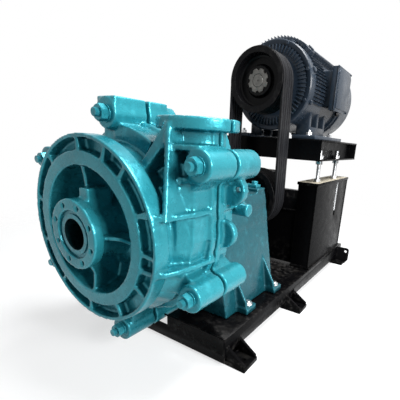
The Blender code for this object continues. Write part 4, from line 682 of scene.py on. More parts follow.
def makeCasing():
    c, z = casing, pump["shaftZ"]
    outlet = (pump["dischargeX"], depthY(pump["seam"]))
    for node, name in (("front_casing_half", "frontCasing"), ("rear_casing_half", "rearCasing")):
        piece = castSkin(node, name, c["voxel"])
        trueRound(piece, (0, z), (0, 2), c["drumStep"], 0, c["hub"], c["dish"])
        trueRound(piece, (c["shift"], z), (0, 2), c["drumStep"], 0, c["dish"], c["rim"])
        front, back = c["lipDepths"]
        trueRound(piece, (0, z), (0, 2), c["lipStep"], c["lipStart"], *c["lip"], depthY(front), depthY(back))
        for centre in studCentres:
            trueRound(piece, centre, (0, 2), c["barrelStep"], 15, c["hub"], c["barrel"])
        trueRound(piece, outlet, (0, 1), c["neckStep"], 0, *c["neck"], z + 0.2)
        trueRound(piece, outlet, (0, 1), c["flangeStep"], 90, *c["flange"], z + 0.32)
        soften(piece, c["smooth"], c["turns"])
        thinned(piece, c["triangles"])
        wear(piece, "teal", "base", node)
        print("  ", name, len(piece.data.polygons), "faces")


makeCasing()

# long studs through the casing, each with two nuts on washers and a threaded tip
studSet = {"shank": 0.0140, "long": 0.290, "middle": 0.287, "tip": 0.108, "tipLong": 0.034, "end": 0.457,
           "endLong": 0.030, "faceIn": 0.150, "faceOut": 0.425, "nut": 0.0235, "nutHeight": 0.025,
           "washer": 0.0285, "washerThick": 0.003, "clear": 0.0003}


def makeCasingStuds():
    s = studSet
    for number, (x, z) in enumerate(studCentres, 1):
        pieces = [disc("shank", 28, s["shank"], s["long"], (x, depthY(s["middle"]), z)),
                  threaded("tip", (x, depthY(s["tip"]), z), "Y", s["tipLong"], s["shank"]),
                  threaded("end", (x, depthY(s["end"] - s["endLong"]), z), "Y", s["endLong"], s["shank"])]
        nuts, washers = [], []
        for face, out, turn in ((s["faceIn"], -1, 11 * number), (s["faceOut"], 1, 11 * number + 17)):
            seat = face + out * (s["washerThick"] + s["clear"])
            place = (x, depthY(seat + out * s["nutHeight"] / 2), z)
            nuts.append(laid(nutShape, "nut", place, "Y", s["nut"], s["nutHeight"], turn))
            place = (x, depthY(seat - out * s["washerThick"] / 2), z)
            washers.append(laid(washerShape, "washer", place, "Y", s["washer"], s["washerThick"]))
        only(pieces[0])
        bpy.ops.object.shade_smooth_by_angle(angle=radians(40))
        wear(joined("casingStud%d" % number, pieces + nuts + washers), "teal", "base", "casing_stud_%d" % number)


makeCasingStuds()
print("stage: casing")

# bearing assembly: cast skins for the bracket, housing, covers and clamps, with crisp bolts
bearings = {"coverBolts": 0.100, "coverHeads": (0.5365, 0.9235), "coverHead": (0.0088, 0.012),
            "clampDepths": (0.630, 0.846), "clampX": 0.166, "clampTop": 0.6614, "clampWasher": (0.019, 0.003),
            "clampHead": (0.0140, 0.014), "plateBolts": (38, 74, 106, 142), "plateCircle": 0.186,
            "plateDepth": 0.4855, "plateHead": (0.0162, 0.016), "footTip": 0.014,
            "footHead": (0.0160, 0.0125), "footWasher": (0.021, 0.0022), "footShank": 0.0104}

# node, piece, finish, voxel, turns of smoothing, and (facet step, least, most) of each round made true
coverRounds = ((22.5, 0.030, 0.070), (22.5, 0.108, 0.125))
castPieces = (("bearing_bracket", "bearingBracket", "shadedPedestal", 0.0048, 2, ((18, 0.100, 0.245),)),
              ("bearing_housing", "bearingHousing", "teal", 0.0034, 2, ((18, 0.060, 0.130),)),
              ("front_bearing_cover", "frontCover", "teal", 0.0026, 1, coverRounds),
              ("rear_bearing_cover", "rearCover", "teal", 0.0026, 1, coverRounds),
              ("front_bearing_clamp", "frontClamp", "teal", 0.0028, 2, ()),
              ("rear_bearing_clamp", "rearClamp", "teal", 0.0028, 2, ()))


def makeBearings():
    for node, name, finish, voxel, turns, rounds in castPieces:
        piece = castSkin(node, name, voxel)
        for step, least, most in rounds:
            trueRound(piece, (0, pump["shaftZ"]), (0, 2), step, 0, least, most)
        soften(piece, 0.5, turns)
        wear(piece, finish, "base", node)


def makeBearingBolts():
    b, z = bearings, pump["shaftZ"]
    heads = []
    for depth in b["coverHeads"]:
        for step in range(4):
            angle = radians(45 + 90 * step)
            place = (b["coverBolts"] * cos(angle), depthY(depth), z + b["coverBolts"] * sin(angle))
            heads.append(laid(nutShape, "head", place, "Y", *b["coverHead"], 14 * step))
    washer, head = b["clampWasher"], b["clampHead"]
    for depth in b["clampDepths"]:
        for side in (-1, 1):
            x, y, seat = side * b["clampX"], depthY(depth), b["clampTop"]
            heads.append(laid(washerShape, "washer", (x, y, seat + washer[1] / 2), "Z", *washer))
            heads.append(laid(nutShape, "head", (x, y, seat + 0.0095), "Z", *head, 20))
    for angle in b["plateBolts"]:
        place = (b["plateCircle"] * cos(radians(angle)), depthY(b["plateDepth"]),
                 z + b["plateCircle"] * sin(radians(angle)))
        heads.append(laid(nutShape, "head", place, "Y", *b["plateHead"], angle))
    wear(joined("bearingBolts", heads), "teal", "base")
    for number in range(1, 5):
        node = "bracket_foot_bolt_%d" % number
        low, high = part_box(node)
        x, y, top = (low[0] + high[0]) / 2, (low[1] + high[1]) / 2, high[2]
        tip = top - b["footTip"]
        pieces = [threaded("end", (x, y, tip), "Z", 0.018, 0.0102),
                  laid(nutShape, "head", (x, y, top - 0.0062), "Z", *b["footHead"], 9 * number),
                  laid(washerShape, "washer", (x, y, top - 0.0128), "Z", *b["footWasher"]),
                  disc("shank", 20, b["footShank"], tip - low[2], (x, y, (tip + low[2]) / 2), "Z")]
        wear(joined("footBolt%d" % number, pieces), "zinc", "base", node)


makeBearings()
makeBearingBolts()
print("stage: bearing assembly")

# belt drive: grooved pulleys on scalloped bushes, and five wedge belts
drive = {"grooves": 5, "pitch": 0.0255, "edge": 0.017, "halfTop": 0.0109, "halfFloor": 0.0061, "deep": 0.015,
         "hub": 0.076, "bore": 0.0504, "webFront": 0.052, "webBack": 0.074, "bush": 0.0498, "bushBore": 0.0335,
         "lobe": 0.060, "lobeThick": 0.0070, "notches": 8, "notch": 0.0115, "beltBack": 0.003, "beltInner": -0.011,
         "halfBack": 0.011, "halfInner": 0.00645, "arcSteps": 36, "runSteps": 12}


def makePulley(node, name, z, rim, body):
    d, front, back = drive, pump["pulleyFront"], pump["pulleyBack"]
    floor = rim - d["deep"]
    inner = floor - 0.014
    profile = [(rim - 0.001, front), (rim, front + 0.001)]
    for index in range(d["grooves"]):
        middle = front + d["edge"] + index * d["pitch"]
        profile += [(rim, middle - d["halfTop"] - 0.0005), (rim - 0.0008, middle - d["halfTop"]),
                    (floor, middle - d["halfFloor"]), (floor, middle + d["halfFloor"]),
                    (rim - 0.0008, middle + d["halfTop"]), (rim, middle + d["halfTop"] + 0.0005)]
    webFront, webBack = front + d["webFront"], front + d["webBack"]
    profile += [(rim, back - 0.001), (rim - 0.001, back), (inner + 0.001, back), (inner, back - 0.001),
                (inner - 0.002, webBack + 0.005), (inner - 0.008, webBack), (d["hub"] + 0.006, webBack),
                (d["hub"] + 0.001, webBack + 0.004), (d["hub"], back - 0.034), (d["hub"] - 0.002, back - 0.032),
                (d["bore"], back - 0.032), (d["bore"], front + 0.030), (d["hub"] - 0.003, front + 0.030),
                (d["hub"], front + 0.033), (d["hub"] + 0.003, webFront - 0.005), (d["hub"] + 0.009, webFront),
                (inner - 0.013, webFront), (inner - 0.005, webFront - 0.004), (inner - 0.001, webFront - 0.012),
                (inner, front + 0.001), (inner + 0.001, front)]
    piece = turned(name, profile, (0, z), 112)
    bpy.ops.object.shade_smooth_by_angle(angle=radians(24))
    wear(piece, "iron", body, node)


def makeBush(node, name, z, body):
    front, back = pump["pulleyFront"] + 0.0225, pump["pulleyBack"] - 0.034
    r, bore, lobe, collar = drive["bush"], drive["bushBore"], drive["lobe"], front + drive["lobeThick"]
    piece = turned(name, [(bore, front), (lobe - 0.002, front), (lobe, front + 0.002), (lobe, collar), (r, collar),
                          (r, back), (bore, back)], (0, z), 80)
    notches = []
    for step in range(drive["notches"]):
        angle = 2 * pi * step / drive["notches"]
        place = ((lobe + 0.001) * cos(angle), depthY(front), z + (lobe + 0.001) * sin(angle))
        notches.append(disc("notch", 20, drive["notch"], 0.030, place))
    combined(piece, "DIFFERENCE", joined("notches", notches))
    softEdges(piece, 0.0008, 2, 40)
    wear(piece, "bush", body, node)


def beltPath(offset):
    low, high = pump["pumpPulley"] + offset, pump["motorPulley"] + offset
    z0, z1 = pump["shaftZ"], pump["motorZ"]
    lean = np.arcsin((low - high) / (z1 - z0))
    points = []
    for z, r, start, end in ((z1, high, lean, pi - lean), (z0, low, pi - lean, 2 * pi + lean)):
        for step in range(drive["arcSteps"] + 1):
            angle = start + (end - start) * step / drive["arcSteps"]
            points.append((r * cos(angle), z + r * sin(angle)))
        last = points[-1]
        nextZ, nextR, nextAngle = (z0, low, pi - lean) if z == z1 else (z1, high, lean)
        ahead = (nextR * cos(nextAngle), nextZ + nextR * sin(nextAngle))
        for step in range(1, drive["runSteps"]):
            part = step / drive["runSteps"]
            points.append((last[0] + (ahead[0] - last[0]) * part, last[1] + (ahead[1] - last[1]) * part))
    return points


def makeBelt(number):
    middle = depthY(pump["pulleyFront"] + drive["edge"] + (number - 1) * drive["pitch"])
    back, inner = beltPath(drive["beltBack"]), beltPath(drive["beltInner"])
    rings = [(back, -drive["halfBack"]), (back, drive["halfBack"]), (inner, drive["halfInner"]),
             (inner, -drive["halfInner"]), (back, -drive["halfBack"])]
    count = len(back)
    bpy.ops.object.select_all(action="DESELECT")
    bpy.ops.mesh.primitive_circle_add(vertices=count, radius=1, fill_type="NOTHING")
    belt = bpy.context.object
    belt.name = "wedgeBelt%d" % number
    for index, (path, aside) in enumerate(rings):
        if index:
            bpy.ops.object.mode_set(mode="EDIT")
            bpy.ops.mesh.extrude_edges_move()
            bpy.ops.object.mode_set(mode="OBJECT")
        if len(belt.data.vertices) != count * (index + 1):
            raise RuntimeError("belt ring lost its points")
        for step, (x, z) in enumerate(path):
            belt.data.vertices[count * index + step].co = (x, middle + aside, z)
        for vertex in belt.data.vertices:
            vertex.select = vertex.index >= count * index
    bpy.ops.object.mode_set(mode="EDIT")
    bpy.ops.mesh.select_all(action="SELECT")
    bpy.ops.mesh.remove_doubles(threshold=0.00002)
    bpy.ops.mesh.normals_make_consistent(inside=False)
    bpy.ops.object.mode_set(mode="OBJECT")
    step = belt.modifiers.new("edges", "BEVEL")
    step.width = 0.0009
    step.segments = 2
    step.limit_method = "ANGLE"
    step.angle_limit = radians(40)
    applyAll(belt)
    bpy.ops.object.shade_smooth_by_angle(angle=radians(35))
    belt.data.materials.clear()
    belt.data.materials.append(finishes["belt"])
    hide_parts("v_belt_%d" % number)
    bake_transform(belt)


makePulley("pump_pulley", "pumpPulley", pump["shaftZ"], pump["pumpPulley"], "pump_rotor")
makePulley("motor_pulley", "motorPulley", pump["motorZ"], pump["motorPulley"], "motor_rotor")
makeBush("pump_taper_bush", "pumpBush", pump["shaftZ"], "pump_rotor")
makeBush("motor_taper_bush", "motorBush", pump["motorZ"], "motor_rotor")
for beltNumber in range(1, 6):
    makeBelt(beltNumber)
print("stage: belt drive")

# motor: finned barrel on cast feet, end shields, fan cowl, terminal box and lifting eye
motor = {"core": 0.238, "tip": 0.268, "ring": 0.254, "frontRing": 0.2425, "front": 1.300, "back": 1.850,
         "ringLong": 0.034, "earAngles": (20, 70, 110, 160, 200, 250, 290, 340), "fins": 80, "finThick": 0.0044,
         "finTaper": 0.6, "finShort": 0.985, "sideAngles": (-21, 42), "sideTip": 0.250, "sideBack": 1.516,
         "footAngles": (-158, -22), "under": 0.896, "footThick": 0.022, "footIn": 0.150, "footOut": 0.295,
         "footMargin": 0.075, "boltX": 0.2285, "boltDepths": (1.3455, 1.7245), "legLow": (0.205, 0.288),
         "legHalf": 0.017, "legTop": 0.105, "legLean": 0.085, "railAngles": (47, 133), "railClear": 3.2,
         "slots": (1.395, 1.505, 1.615, 1.725), "slotLong": 0.085, "eyeDepth": 1.345, "eyeSeat": 0.268,
         "lugWide": 0.040, "lugHigh": 0.036, "lugThick": 0.014, "lugHole": 0.0105}


def aroundMotor(degrees):                 # turns what is modelled along +X to this angle about the motor's shaft
    middle = Matrix.Translation((0, 0, pump["motorZ"]))
    return middle @ Matrix.Rotation(-radians(degrees), 4, "Y") @ middle.inverted()


def makeFin(tip, front, back):
    m, z = motor, pump["motorZ"]
    half = m["finThick"] / 2
    fin = slab("fin", (m["core"] - 0.002, depthY(front), z - half), (tip, depthY(back), z + half))
    for vertex in fin.data.vertices:
        vertex.select = vertex.co.x > m["core"] + 0.005
    for face in fin.data.polygons:
        face.select = face.normal.x > 0.9
    only(fin)
    bpy.ops.object.mode_set(mode="EDIT")
    bpy.ops.transform.resize(value=(1, 1, m["finTaper"]), center_override=(0, 0, z))
    bpy.ops.transform.resize(value=(1, m["finShort"], 1), center_override=(0, depthY((front + back) / 2), z))
    bpy.ops.mesh.bevel(offset=0.0011, segments=1)
    bpy.ops.object.mode_set(mode="OBJECT")
    bpy.ops.object.shade_smooth_by_angle(angle=radians(30))
    return fin


def makeMotorLeg(side, depth):
    m, y = motor, depthY(depth)
    inner, outer = m["legLow"]
    leg = slab("leg", (inner, y - m["legHalf"], m["under"] + 0.012),
               (outer, y + m["legHalf"], pump["motorZ"] - m["legTop"]))
    for vertex in leg.data.vertices:
        vertex.select = vertex.co.z > m["under"] + 0.05
    for face in leg.data.polygons:
        face.select = face.normal.z > 0.9
    only(leg)
    bpy.ops.object.mode_set(mode="EDIT")
    bpy.ops.transform.translate(value=(-m["legLean"], 0, 0))
    bpy.ops.object.mode_set(mode="OBJECT")
    softEdges(leg, 0.004)
    if side < 0:
        leg.data.transform(Matrix.Diagonal((-1, 1, 1, 1)))
        leg.data.flip_normals()
    return leg


def makeMotorFrame():
    m, z = motor, pump["motorZ"]
    pieces = []
    barrel = turned("motorFrame", [(0.150, m["front"] + 0.001), (m["core"], m["front"] + 0.001),
                                   (m["core"], m["back"] - 0.001), (0.150, m["back"] - 0.001)], (0, z), 120)
    bpy.ops.object.shade_smooth_by_angle(angle=radians(30))
    pieces.append(barrel)
    for start, r in ((m["front"], m["frontRing"]), (m["back"] - m["ringLong"], m["ring"])):
        end = start + m["ringLong"]
        ring = turned("ring", [(0.200, start), (r - 0.004, start), (r, start + 0.003), (r, start + 0.012),
                               (r - 0.003, start + 0.015), (r - 0.003, end - 0.004), (r - 0.006, end), (0.200, end)],
                      (0, z), 120)
        bpy.ops.object.shade_smooth_by_angle(angle=radians(26))
        pieces.append(ring)
        for angle in m["earAngles"]:
            ear = slab("ear", (r - 0.012, depthY(start + 0.002), z - 0.013),
                       (r + 0.010, depthY(end - 0.002), z + 0.013))
            softEdges(ear, 0.005, 3)
            pieces.append(ear)
            ear.data.transform(aroundMotor(angle))
    fin = makeFin(m["tip"], m["front"] + 0.003, m["back"] - m["ringLong"] - 0.002)
    sideFin = makeFin(m["sideTip"], m["front"] + m["ringLong"] + 0.002, m["sideBack"])
    for number in range(m["fins"]):
        angle = 360 * (number + 0.5) / m["fins"]
        away = min(abs((angle - rail + 180) % 360 - 180) for rail in m["railAngles"])
        turn = (angle + 180) % 360 - 180
        if m["sideAngles"][0] < turn < m["sideAngles"][1]:
            pieces.append(copied(sideFin, aroundMotor(angle)))
        elif away > m["railClear"] and not m["footAngles"][0] < turn < m["footAngles"][1]:
            pieces.append(copied(fin, aroundMotor(angle)))
    dropped(fin, sideFin)
    front, back = m["boltDepths"]
    for side in (-1, 1):
        x0, x1 = sorted((side * m["footIn"], side * m["footOut"]))
        plate = slab("footPlate", (x0, depthY(front - m["footMargin"]), m["under"]),
                     (x1, depthY(back + m["footMargin"]), m["under"] + m["footThick"]))
        pieces.append(softEdges(plate, 0.004, 3))
        for depth in (front + 0.065, (front + back) / 2, back - 0.065):
            pieces.append(makeMotorLeg(side, depth))
        x0, x1 = sorted((side * 0.190, side * 0.206))
        pieces.append(softEdges(slab("footRib", (x0, depthY(front + 0.055), m["under"] + 0.015),
                                     (x1, depthY(back - 0.055), m["under"] + 0.075)), 0.003))
    pieces.append(softEdges(slab("boxSeat", (0.200, depthY(1.520), 1.095), (0.272, depthY(1.750), 1.295)), 0.005, 3))
    for angle in m["railAngles"]:
        rail = slab("rail", (0.215, depthY(m["front"] + 0.022), z - 0.0115),
                    (0.2695, depthY(m["back"] - 0.012), z + 0.0115))
        slots = [slab("slot", (0.259, depthY(start), z - 0.0045), (0.29, depthY(start + m["slotLong"]), z + 0.0045))
                 for start in m["slots"]]
        combined(rail, "DIFFERENCE", joined("slots", slots))
        softEdges(rail, 0.0018)
        rail.data.transform(aroundMotor(angle))
        pieces.append(rail)
    seat = slab("eyeSeat", (0.180, depthY(m["eyeDepth"] - 0.029), z - 0.025),
                (m["eyeSeat"], depthY(m["eyeDepth"] + 0.029), z + 0.025))
    softEdges(seat, 0.005, 3)
    seat.data.transform(aroundMotor(m["railAngles"][0]))
    pieces.append(seat)
    wear(joined("motorFrame", pieces), "motor", "motor_mount", "motor_frame")


def makeMotorEye():
    m, z = motor, pump["motorZ"]
    y = depthY(m["eyeDepth"])
    base = m["eyeSeat"] + 0.0004
    lug = slab("liftingEye", (base + 0.001, y - m["lugWide"] / 2, z - m["lugThick"] / 2),
               (base + m["lugHigh"], y + m["lugWide"] / 2, z + m["lugThick"] / 2))
    only(lug)
    bpy.ops.object.mode_set(mode="EDIT")
    bpy.ops.mesh.select_all(action="DESELECT")
    bpy.ops.object.mode_set(mode="OBJECT")
    for edge in lug.data.edges:
        ends = [lug.data.vertices[index].co for index in edge.vertices]
        edge.select = all(end.x > base + 0.03 for end in ends) and abs(ends[0].z - ends[1].z) > 0.005
    bpy.ops.object.mode_set(mode="EDIT")
    bpy.ops.mesh.select_mode(type="EDGE")
    bpy.ops.mesh.bevel(offset=0.017, segments=6)
    bpy.ops.mesh.select_mode(type="VERT")
    bpy.ops.object.mode_set(mode="OBJECT")
    combined(lug, "DIFFERENCE", disc("lugHole", 28, m["lugHole"], 0.05, (base + 0.025, y, z), "Z"))
    softEdges(lug, 0.0015)
    collar = softEdges(disc("collar", 32, 0.0195, 0.008, (base + 0.004, y, z), "X"), 0.002, 3)
    shank = disc("shank", 20, 0.0083, 0.022, (base - 0.011, y, z), "X")
    eye = joined("liftingEye", [lug, collar, shank])
    eye.data.transform(aroundMotor(m["railAngles"][0]))
    wear(eye, "motor", "motor_mount", "motor_eyebolt")


# drive-end shield: short cooling ribs run round the face inside the rim
shield = {"profile": ((0.0340, 1.2460), (0.066, 1.2455), (0.071, 1.249), (0.073, 1.258), (0.080, 1.263),
                      (0.158, 1.2605), (0.190, 1.2635), (0.208, 1.2675), (0.216, 1.2640), (0.236, 1.2640),
                      (0.2415, 1.2695), (0.2415, 1.2995), (0.0340, 1.2995)),
          "ribs": 60, "ribRadii": (0.172, 0.212), "ribDepths": (1.2545, 1.2720), "ribHalf": 0.0026,
          "boltCircle": 0.226, "boltDepth": 1.2610, "bolt": (0.0085, 0.010),
          "capCircle": 0.052, "capDepth": 1.2425, "capBolt": (0.0065, 0.007)}


def makeMotorShield():
    s, z = shield, pump["motorZ"]
    plate = turned("frontShield", s["profile"], (0, z), 120)
    bpy.ops.object.shade_smooth_by_angle(angle=radians(24))
    pieces = [plate]
    low, high = [(radius, depthY(depth)) for radius, depth in zip(s["ribRadii"], s["ribDepths"])]
    rib = softEdges(slab("rib", (*low, z - s["ribHalf"]), (*high, z + s["ribHalf"])), 0.0014)
    for step in range(s["ribs"]):
        pieces.append(copied(rib, aroundMotor(360 * (step + 0.5) / s["ribs"])))
    dropped(rib)
    for step, angle in enumerate(motor["earAngles"]):
        head = laid(nutShape, "head", (s["boltCircle"], depthY(s["boltDepth"]), z), "Y", *s["bolt"], 10 * step)
        head.data.transform(aroundMotor(angle))
        pieces.append(head)
    for step in range(4):
        head = laid(nutShape, "head", (s["capCircle"], depthY(s["capDepth"]), z), "Y", *s["capBolt"])
        head.data.transform(aroundMotor(45 + 90 * step))
        pieces.append(head)
    wear(joined("frontShield", pieces), "motor", "motor_mount", "motor_front_shield")


# fan cowl: a pressed shell with a wire grille at its end
cowl = {"radius": 0.262, "front": 1.8545, "back": 2.080, "opening": 0.216, "rings": 10, "firstRing": 0.072,
        "ringStep": 0.0142, "wire": 0.0019, "bars": 8, "barRadius": 0.0026, "barMiddle": 0.140, "barLong": 0.160,
        "cap": (0.062, 0.005), "screwAngles": (45, 135, 225, 315), "screwDepth": 1.861, "screw": (0.006, 0.006)}


def makeCowl():
    c, z = cowl, pump["motorZ"]
    r, front, back, hole = c["radius"], c["front"], c["back"], c["opening"]
    profile = [(r - 0.004, front), (r, front), (r, 1.866), (r - 0.002, 1.869), (r - 0.002, 2.040),
               (r - 0.006, back - 0.022), (r - 0.014, back - 0.008), (r - 0.026, back - 0.001), (hole, back),
               (hole - 0.003, back - 0.003), (hole, back - 0.006), (r - 0.028, back - 0.006),
               (r - 0.017, back - 0.012), (r - 0.010, back - 0.024), (r - 0.006, 2.038), (r - 0.006, 1.870)]
    pieces = [turned("fanCowl", profile, (0, z), 120)]
    bpy.ops.object.shade_smooth_by_angle(angle=radians(30))
    for step in range(c["rings"]):
        bpy.ops.object.select_all(action="DESELECT")
        bpy.ops.mesh.primitive_torus_add(major_segments=72, minor_segments=6, minor_radius=c["wire"],
                                         major_radius=c["firstRing"] + c["ringStep"] * step,
                                         location=(0, depthY(back - 0.003), z), rotation=facing("Y"))
        pieces.append(settled(bpy.context.object, "grilleRing"))
        bpy.ops.object.shade_smooth()
    for step in range(c["bars"]):
        bar = disc("grilleBar", 8, c["barRadius"], c["barLong"], (c["barMiddle"], depthY(back - 0.0075), z), "X")
        bpy.ops.object.shade_smooth_by_angle(angle=radians(50))
        bar.data.transform(aroundMotor(22.5 + 45 * step))
        pieces.append(bar)
    pieces.append(softEdges(disc("cap", 48, *c["cap"], (0, depthY(back - 0.0028), z)), 0.0015))
    for angle in c["screwAngles"]:
        head = laid(nutShape, "head", (r + 0.0005, depthY(c["screwDepth"]), z), "X", *c["screw"])
        head.data.transform(aroundMotor(angle))
        pieces.append(head)
    wear(joined("fanCowl", pieces), "motor", "motor_mount", "fan_cowl")


# terminal box with its cover, screws and cable gland
terminal = {"depths": (1.505, 1.765), "heights": (1.081, 1.309), "screwX": 0.3110, "screw": (0.0048, 0.006)}


def makeTerminalBox():
    tub = softEdges(nodeCopy("terminal_box", "terminalBox"), 0.004, 3)
    wear(tub, "motor", "motor_mount", "terminal_box")
    lid = softEdges(nodeCopy("terminal_box_cover", "terminalCover"), 0.0035, 3)
    pieces = [lid]
    for depth in terminal["depths"]:
        for high in terminal["heights"]:
            place = (terminal["screwX"], depthY(depth), high)
            pieces.append(laid(nutShape, "screw", place, "X", *terminal["screw"], 12))
    wear(joined("terminalCover", pieces), "motor", "motor_mount", "terminal_box_cover")
    corner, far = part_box("cable_gland")
    x, y, low = (corner[0] + far[0]) / 2, (corner[1] + far[1]) / 2, corner[2]
    gland = [laid(nutShape, "glandNut", (x, y, low + 0.0175), "Z", 0.0125, 0.015, 15),
             softEdges(disc("dome", 28, 0.0105, 0.010, (x, y, low + 0.006), "Z"), 0.003, 3),
             disc("neck", 24, 0.0103, 0.022, (x, y, low + 0.032), "Z")]
    wear(joined("cableGland", gland), "iron", "motor_mount", "cable_gland")


# bolts that hold the motor's feet to the platform
footBolts = {"washer": (0.021, 0.003), "nut": (0.0160, 0.016), "nutMiddle": 0.0110, "end": 0.026, "radius": 0.0100}


def makeMotorBolts():
    f, seat = footBolts, motor["under"] + motor["footThick"]
    pieces = []
    for side in (-1, 1):
        for number, depth in enumerate(motor["boltDepths"]):
            x, y = side * motor["boltX"], depthY(depth)
            pieces += [laid(washerShape, "washer", (x, y, seat + f["washer"][1] / 2), "Z", *f["washer"]),
                       laid(nutShape, "nut", (x, y, seat + f["nutMiddle"]), "Z", *f["nut"], 10 + 25 * number),
                       threaded("end", (x, y, seat + 0.004), "Z", f["end"], f["radius"])]
    wear(joined("motorFootBolts", pieces), "zinc", "motor_mount")


makeMotorFrame()
makeMotorEye()
makeMotorShield()
makeCowl()
makeTerminalBox()
makeMotorBolts()
print("stage: motor")

# welded steelwork: the solids with eased edges
steelwork = {"edge": 0.0016, "fixed": (("base_frame", "baseFrame"), ("column_left", "columnLeft"),
                                       ("column_right", "columnRight"), ("column_tie_beam", "tiePanel"))}


def makeSteelwork():
    for node, name in steelwork["fixed"]:
        wear(softEdges(nodeCopy(node, name), steelwork["edge"]), "black", "base", node)
    wear(softEdges(nodeCopy("motor_platform", "motorPlatform"), steelwork["edge"]), "black", "motor_mount",
         "motor_platform")


# weld beads where the steelwork's plates meet
welds = {"radius": 0.0036, "step": 0.006, "rails": 0.37, "footDepths": ((0.350, 0.450), (0.910, 1.010)),
         "footWall": 0.013, "railHeights": (0.048, 0.084), "footLine": 0.019, "columnDepths": (1.240, 1.890),
         "columnFoot": 0.1380, "outer": 0.355, "inner": 0.238, "cornerTop": 0.638, "headLine": 0.639,
         "lugDepths": (1.859, 1.877), "lugTop": 0.119, "frontX": 0.36, "frontDepth": 0.3366, "frontHeight": 0.1245,
         "crossX": 0.300, "crossDepths": (1.249, 2.031)}


def weldBead(start, end):                 # a rippled fillet from one point to another
    first, last = Vector(start), Vector(end)
    run = last - first
    bpy.ops.object.select_all(action="DESELECT")
    rings = max(3, int(run.length / welds["step"]))
    bpy.ops.mesh.primitive_cylinder_add(vertices=8, radius=welds["radius"], depth=1, location=(0, 0, 0.5))
    bead = settled(bpy.context.object, "weldBead")
    bpy.ops.object.mode_set(mode="EDIT")
    for ring in range(1, rings):
        bpy.ops.mesh.select_all(action="SELECT")
        bpy.ops.mesh.bisect(plane_co=(0, 0, ring / rings), plane_no=(0, 0, 1))
    bpy.ops.object.mode_set(mode="OBJECT")
    points = np.empty(len(bead.data.vertices) * 3)
    bead.data.vertices.foreach_get("co", points)
    points = points.reshape(-1, 3)
    wave = 1 + 0.16 * np.sin(points[:, 2] * rings * 2.4 + run.length * 37)
    points[:, :2] *= wave[:, None]
    bead.data.vertices.foreach_set("co", points.ravel())
    turn = run.to_track_quat("Z", "Y").to_matrix().to_4x4()
    bead.data.transform(Matrix.Translation(first) @ turn @ Matrix.Diagonal((1, 1, run.length, 1)))
    bpy.ops.object.shade_smooth_by_angle(angle=radians(60))
    return bead


def makeWelds():
    w = welds
    low, high = w["railHeights"]
    y0, y1 = [depthY(depth) for depth in w["columnDepths"]]
    foot, head = w["columnFoot"], w["headLine"]
    beads = []
    for side in (-1, 1):
        rail, outer, inner = side * w["rails"], side * w["outer"], side * w["inner"]
        for start, end in w["footDepths"]:
            for depth in (start + 0.001, start + w["footWall"], end - w["footWall"], end - 0.001):
                beads.append(weldBead((rail, depthY(depth), low), (rail, depthY(depth), high)))
            beads.append(weldBead((rail, depthY(start + 0.014), w["footLine"]),
                                  (rail, depthY(end - 0.014), w["footLine"])))
        beads.append(weldBead((outer, y0, foot), (outer, y1, foot)))
        for y in (y0, y1):
            corner = outer - side * 0.001
            beads.append(weldBead((inner, y, foot), (outer, y, foot)))
            beads.append(weldBead((corner, y, foot), (corner, y, w["cornerTop"])))
            beads.append(weldBead((inner, y, head), (outer, y, head)))
        beads.append(weldBead((outer, y0, head), (outer, y1, head)))
        for depth in w["lugDepths"]:
            beads.append(weldBead((rail, depthY(depth), low), (rail, depthY(depth), w["lugTop"])))
    x, y, z = w["frontX"], depthY(w["frontDepth"]), w["frontHeight"]
    beads.append(weldBead((-x, y, z), (x, y, z)))
    wear(joined("frameWelds", beads), "black", "base")
    corner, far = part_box("motor_platform")
    bottom, top = corner[2] + 0.020, far[2] - 0.010
    beads = []
    for side in (-1, 1):
        for depth in w["crossDepths"]:
            x, y = side * w["crossX"], depthY(depth)
            beads.append(weldBead((x, y, bottom), (x, y, top)))
    wear(joined("platformWelds", beads), "black", "motor_mount")


# dried slurry that lies on the columns' head plates
headDust = {"across": (0.2345, 0.3585), "depths": (1.2365, 1.8935), "heights": (0.6560, 0.6568), "cuts": 9}


def makeColumnHeads():
    d = headDust
    pieces = []
    for side in (-1, 1):
        x0, x1 = sorted(side * x for x in d["across"])
        corners = [(x, depthY(depth), z) for x, depth, z in zip((x0, x1), d["depths"], d["heights"])]
        film = slab("headDust", *corners)
        only(film)
        bpy.ops.object.mode_set(mode="EDIT")
        bpy.ops.mesh.select_all(action="SELECT")
        bpy.ops.mesh.subdivide(number_cuts=d["cuts"])
        bpy.ops.object.mode_set(mode="OBJECT")
        pieces.append(film)
    wear(joined("headDust", pieces), "dust", "base")


# column bolts, jacking studs with their nuts, and the guide rods in the columns' slits
frameBolts = {"columnX": 0.337, "boltDepths": (1.340, 1.790), "footTop": 0.1378, "boltWasher": (0.0155, 0.002),
              "boltHead": (0.0128, 0.0116), "jackX": 0.318, "jackDepths": (1.330, 1.660), "jackRadius": 0.012,
              "jackNut": (0.018, 0.019), "headTop": 0.6564, "headUnder": 0.6396, "flange": 0.020,
              "platformNut": (0.0190, 0.0215), "guideX": 0.3445, "guideLow": 0.440, "guideHigh": 0.6402,
              "guideRadius": 0.0135}


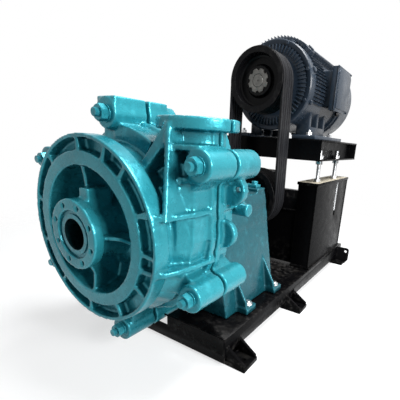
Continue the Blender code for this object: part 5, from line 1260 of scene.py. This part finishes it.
def makeFrameBolts():
    f = frameBolts
    pieces = []
    for side in (-1, 1):
        for depth in f["boltDepths"]:
            x, y, z = side * f["columnX"], depthY(depth), f["footTop"]
            pieces += [laid(washerShape, "washer", (x, y, z + f["boltWasher"][1] / 2), "Z", *f["boltWasher"]),
                       laid(nutShape, "head", (x, y, z + 0.0078), "Z", *f["boltHead"], 21 * side)]
    wear(joined("columnBolts", pieces), "black", "base")
    corner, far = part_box("jacking_stud_1")
    bottom, top = corner[2], far[2]
    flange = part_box("motor_platform")[0][2] + f["flange"]
    places = [(side * f["jackX"], depthY(depth)) for side in (-1, 1) for depth in f["jackDepths"]]
    upper = f["headTop"] + 0.0006 + f["jackNut"][1] / 2
    lower = f["headUnder"] - f["jackNut"][1] / 2
    for number, (x, y) in enumerate(places, 1):
        pieces = [threaded("stud", (x, y, bottom), "Z", top - bottom, f["jackRadius"]),
                  laid(nutShape, "nut", (x, y, upper), "Z", *f["jackNut"], 8),
                  laid(nutShape, "nut", (x, y, lower), "Z", *f["jackNut"], 20)]
        wear(joined("jackingStud%d" % number, pieces), "zinc", "base", "jacking_stud_%d" % number)
    pieces = []
    for x, y in places:                   # above and below the platform's flange
        for middle, turn in ((flange + 0.0195, 14), (flange - 0.0105, 33)):
            pieces.append(laid(nutShape, "nut", (x, y, middle), "Z", *f["platformNut"], turn))
    wear(joined("platformNuts", pieces), "zinc", "motor_mount")
    rods = []
    for side in (-1, 1):
        x, y = side * f["guideX"], depthY(f["jackDepths"][1])
        rods.append(threaded("rod", (x, y, f["guideLow"]), "Z", f["guideHigh"] - f["guideLow"], f["guideRadius"]))
    wear(joined("guideRods", rods), "zinc", "base")


makeSteelwork()
makeWelds()
makeColumnHeads()
makeFrameBolts()
print("stage: steelwork")

# throat liner, which shows in the suction flange


def makeThroat():
    throat = nodeCopy("throat_bush", "throatLiner")
    trueRound(throat, (0, pump["shaftZ"]), (0, 2), casing["drumStep"], 0, casing["hub"], 0.26)
    only(throat)
    bpy.ops.object.shade_smooth_by_angle(angle=radians(35))
    wear(throat, "throat", "base", "throat_bush")


makeThroat()
dropped(nutShape, washerShape)
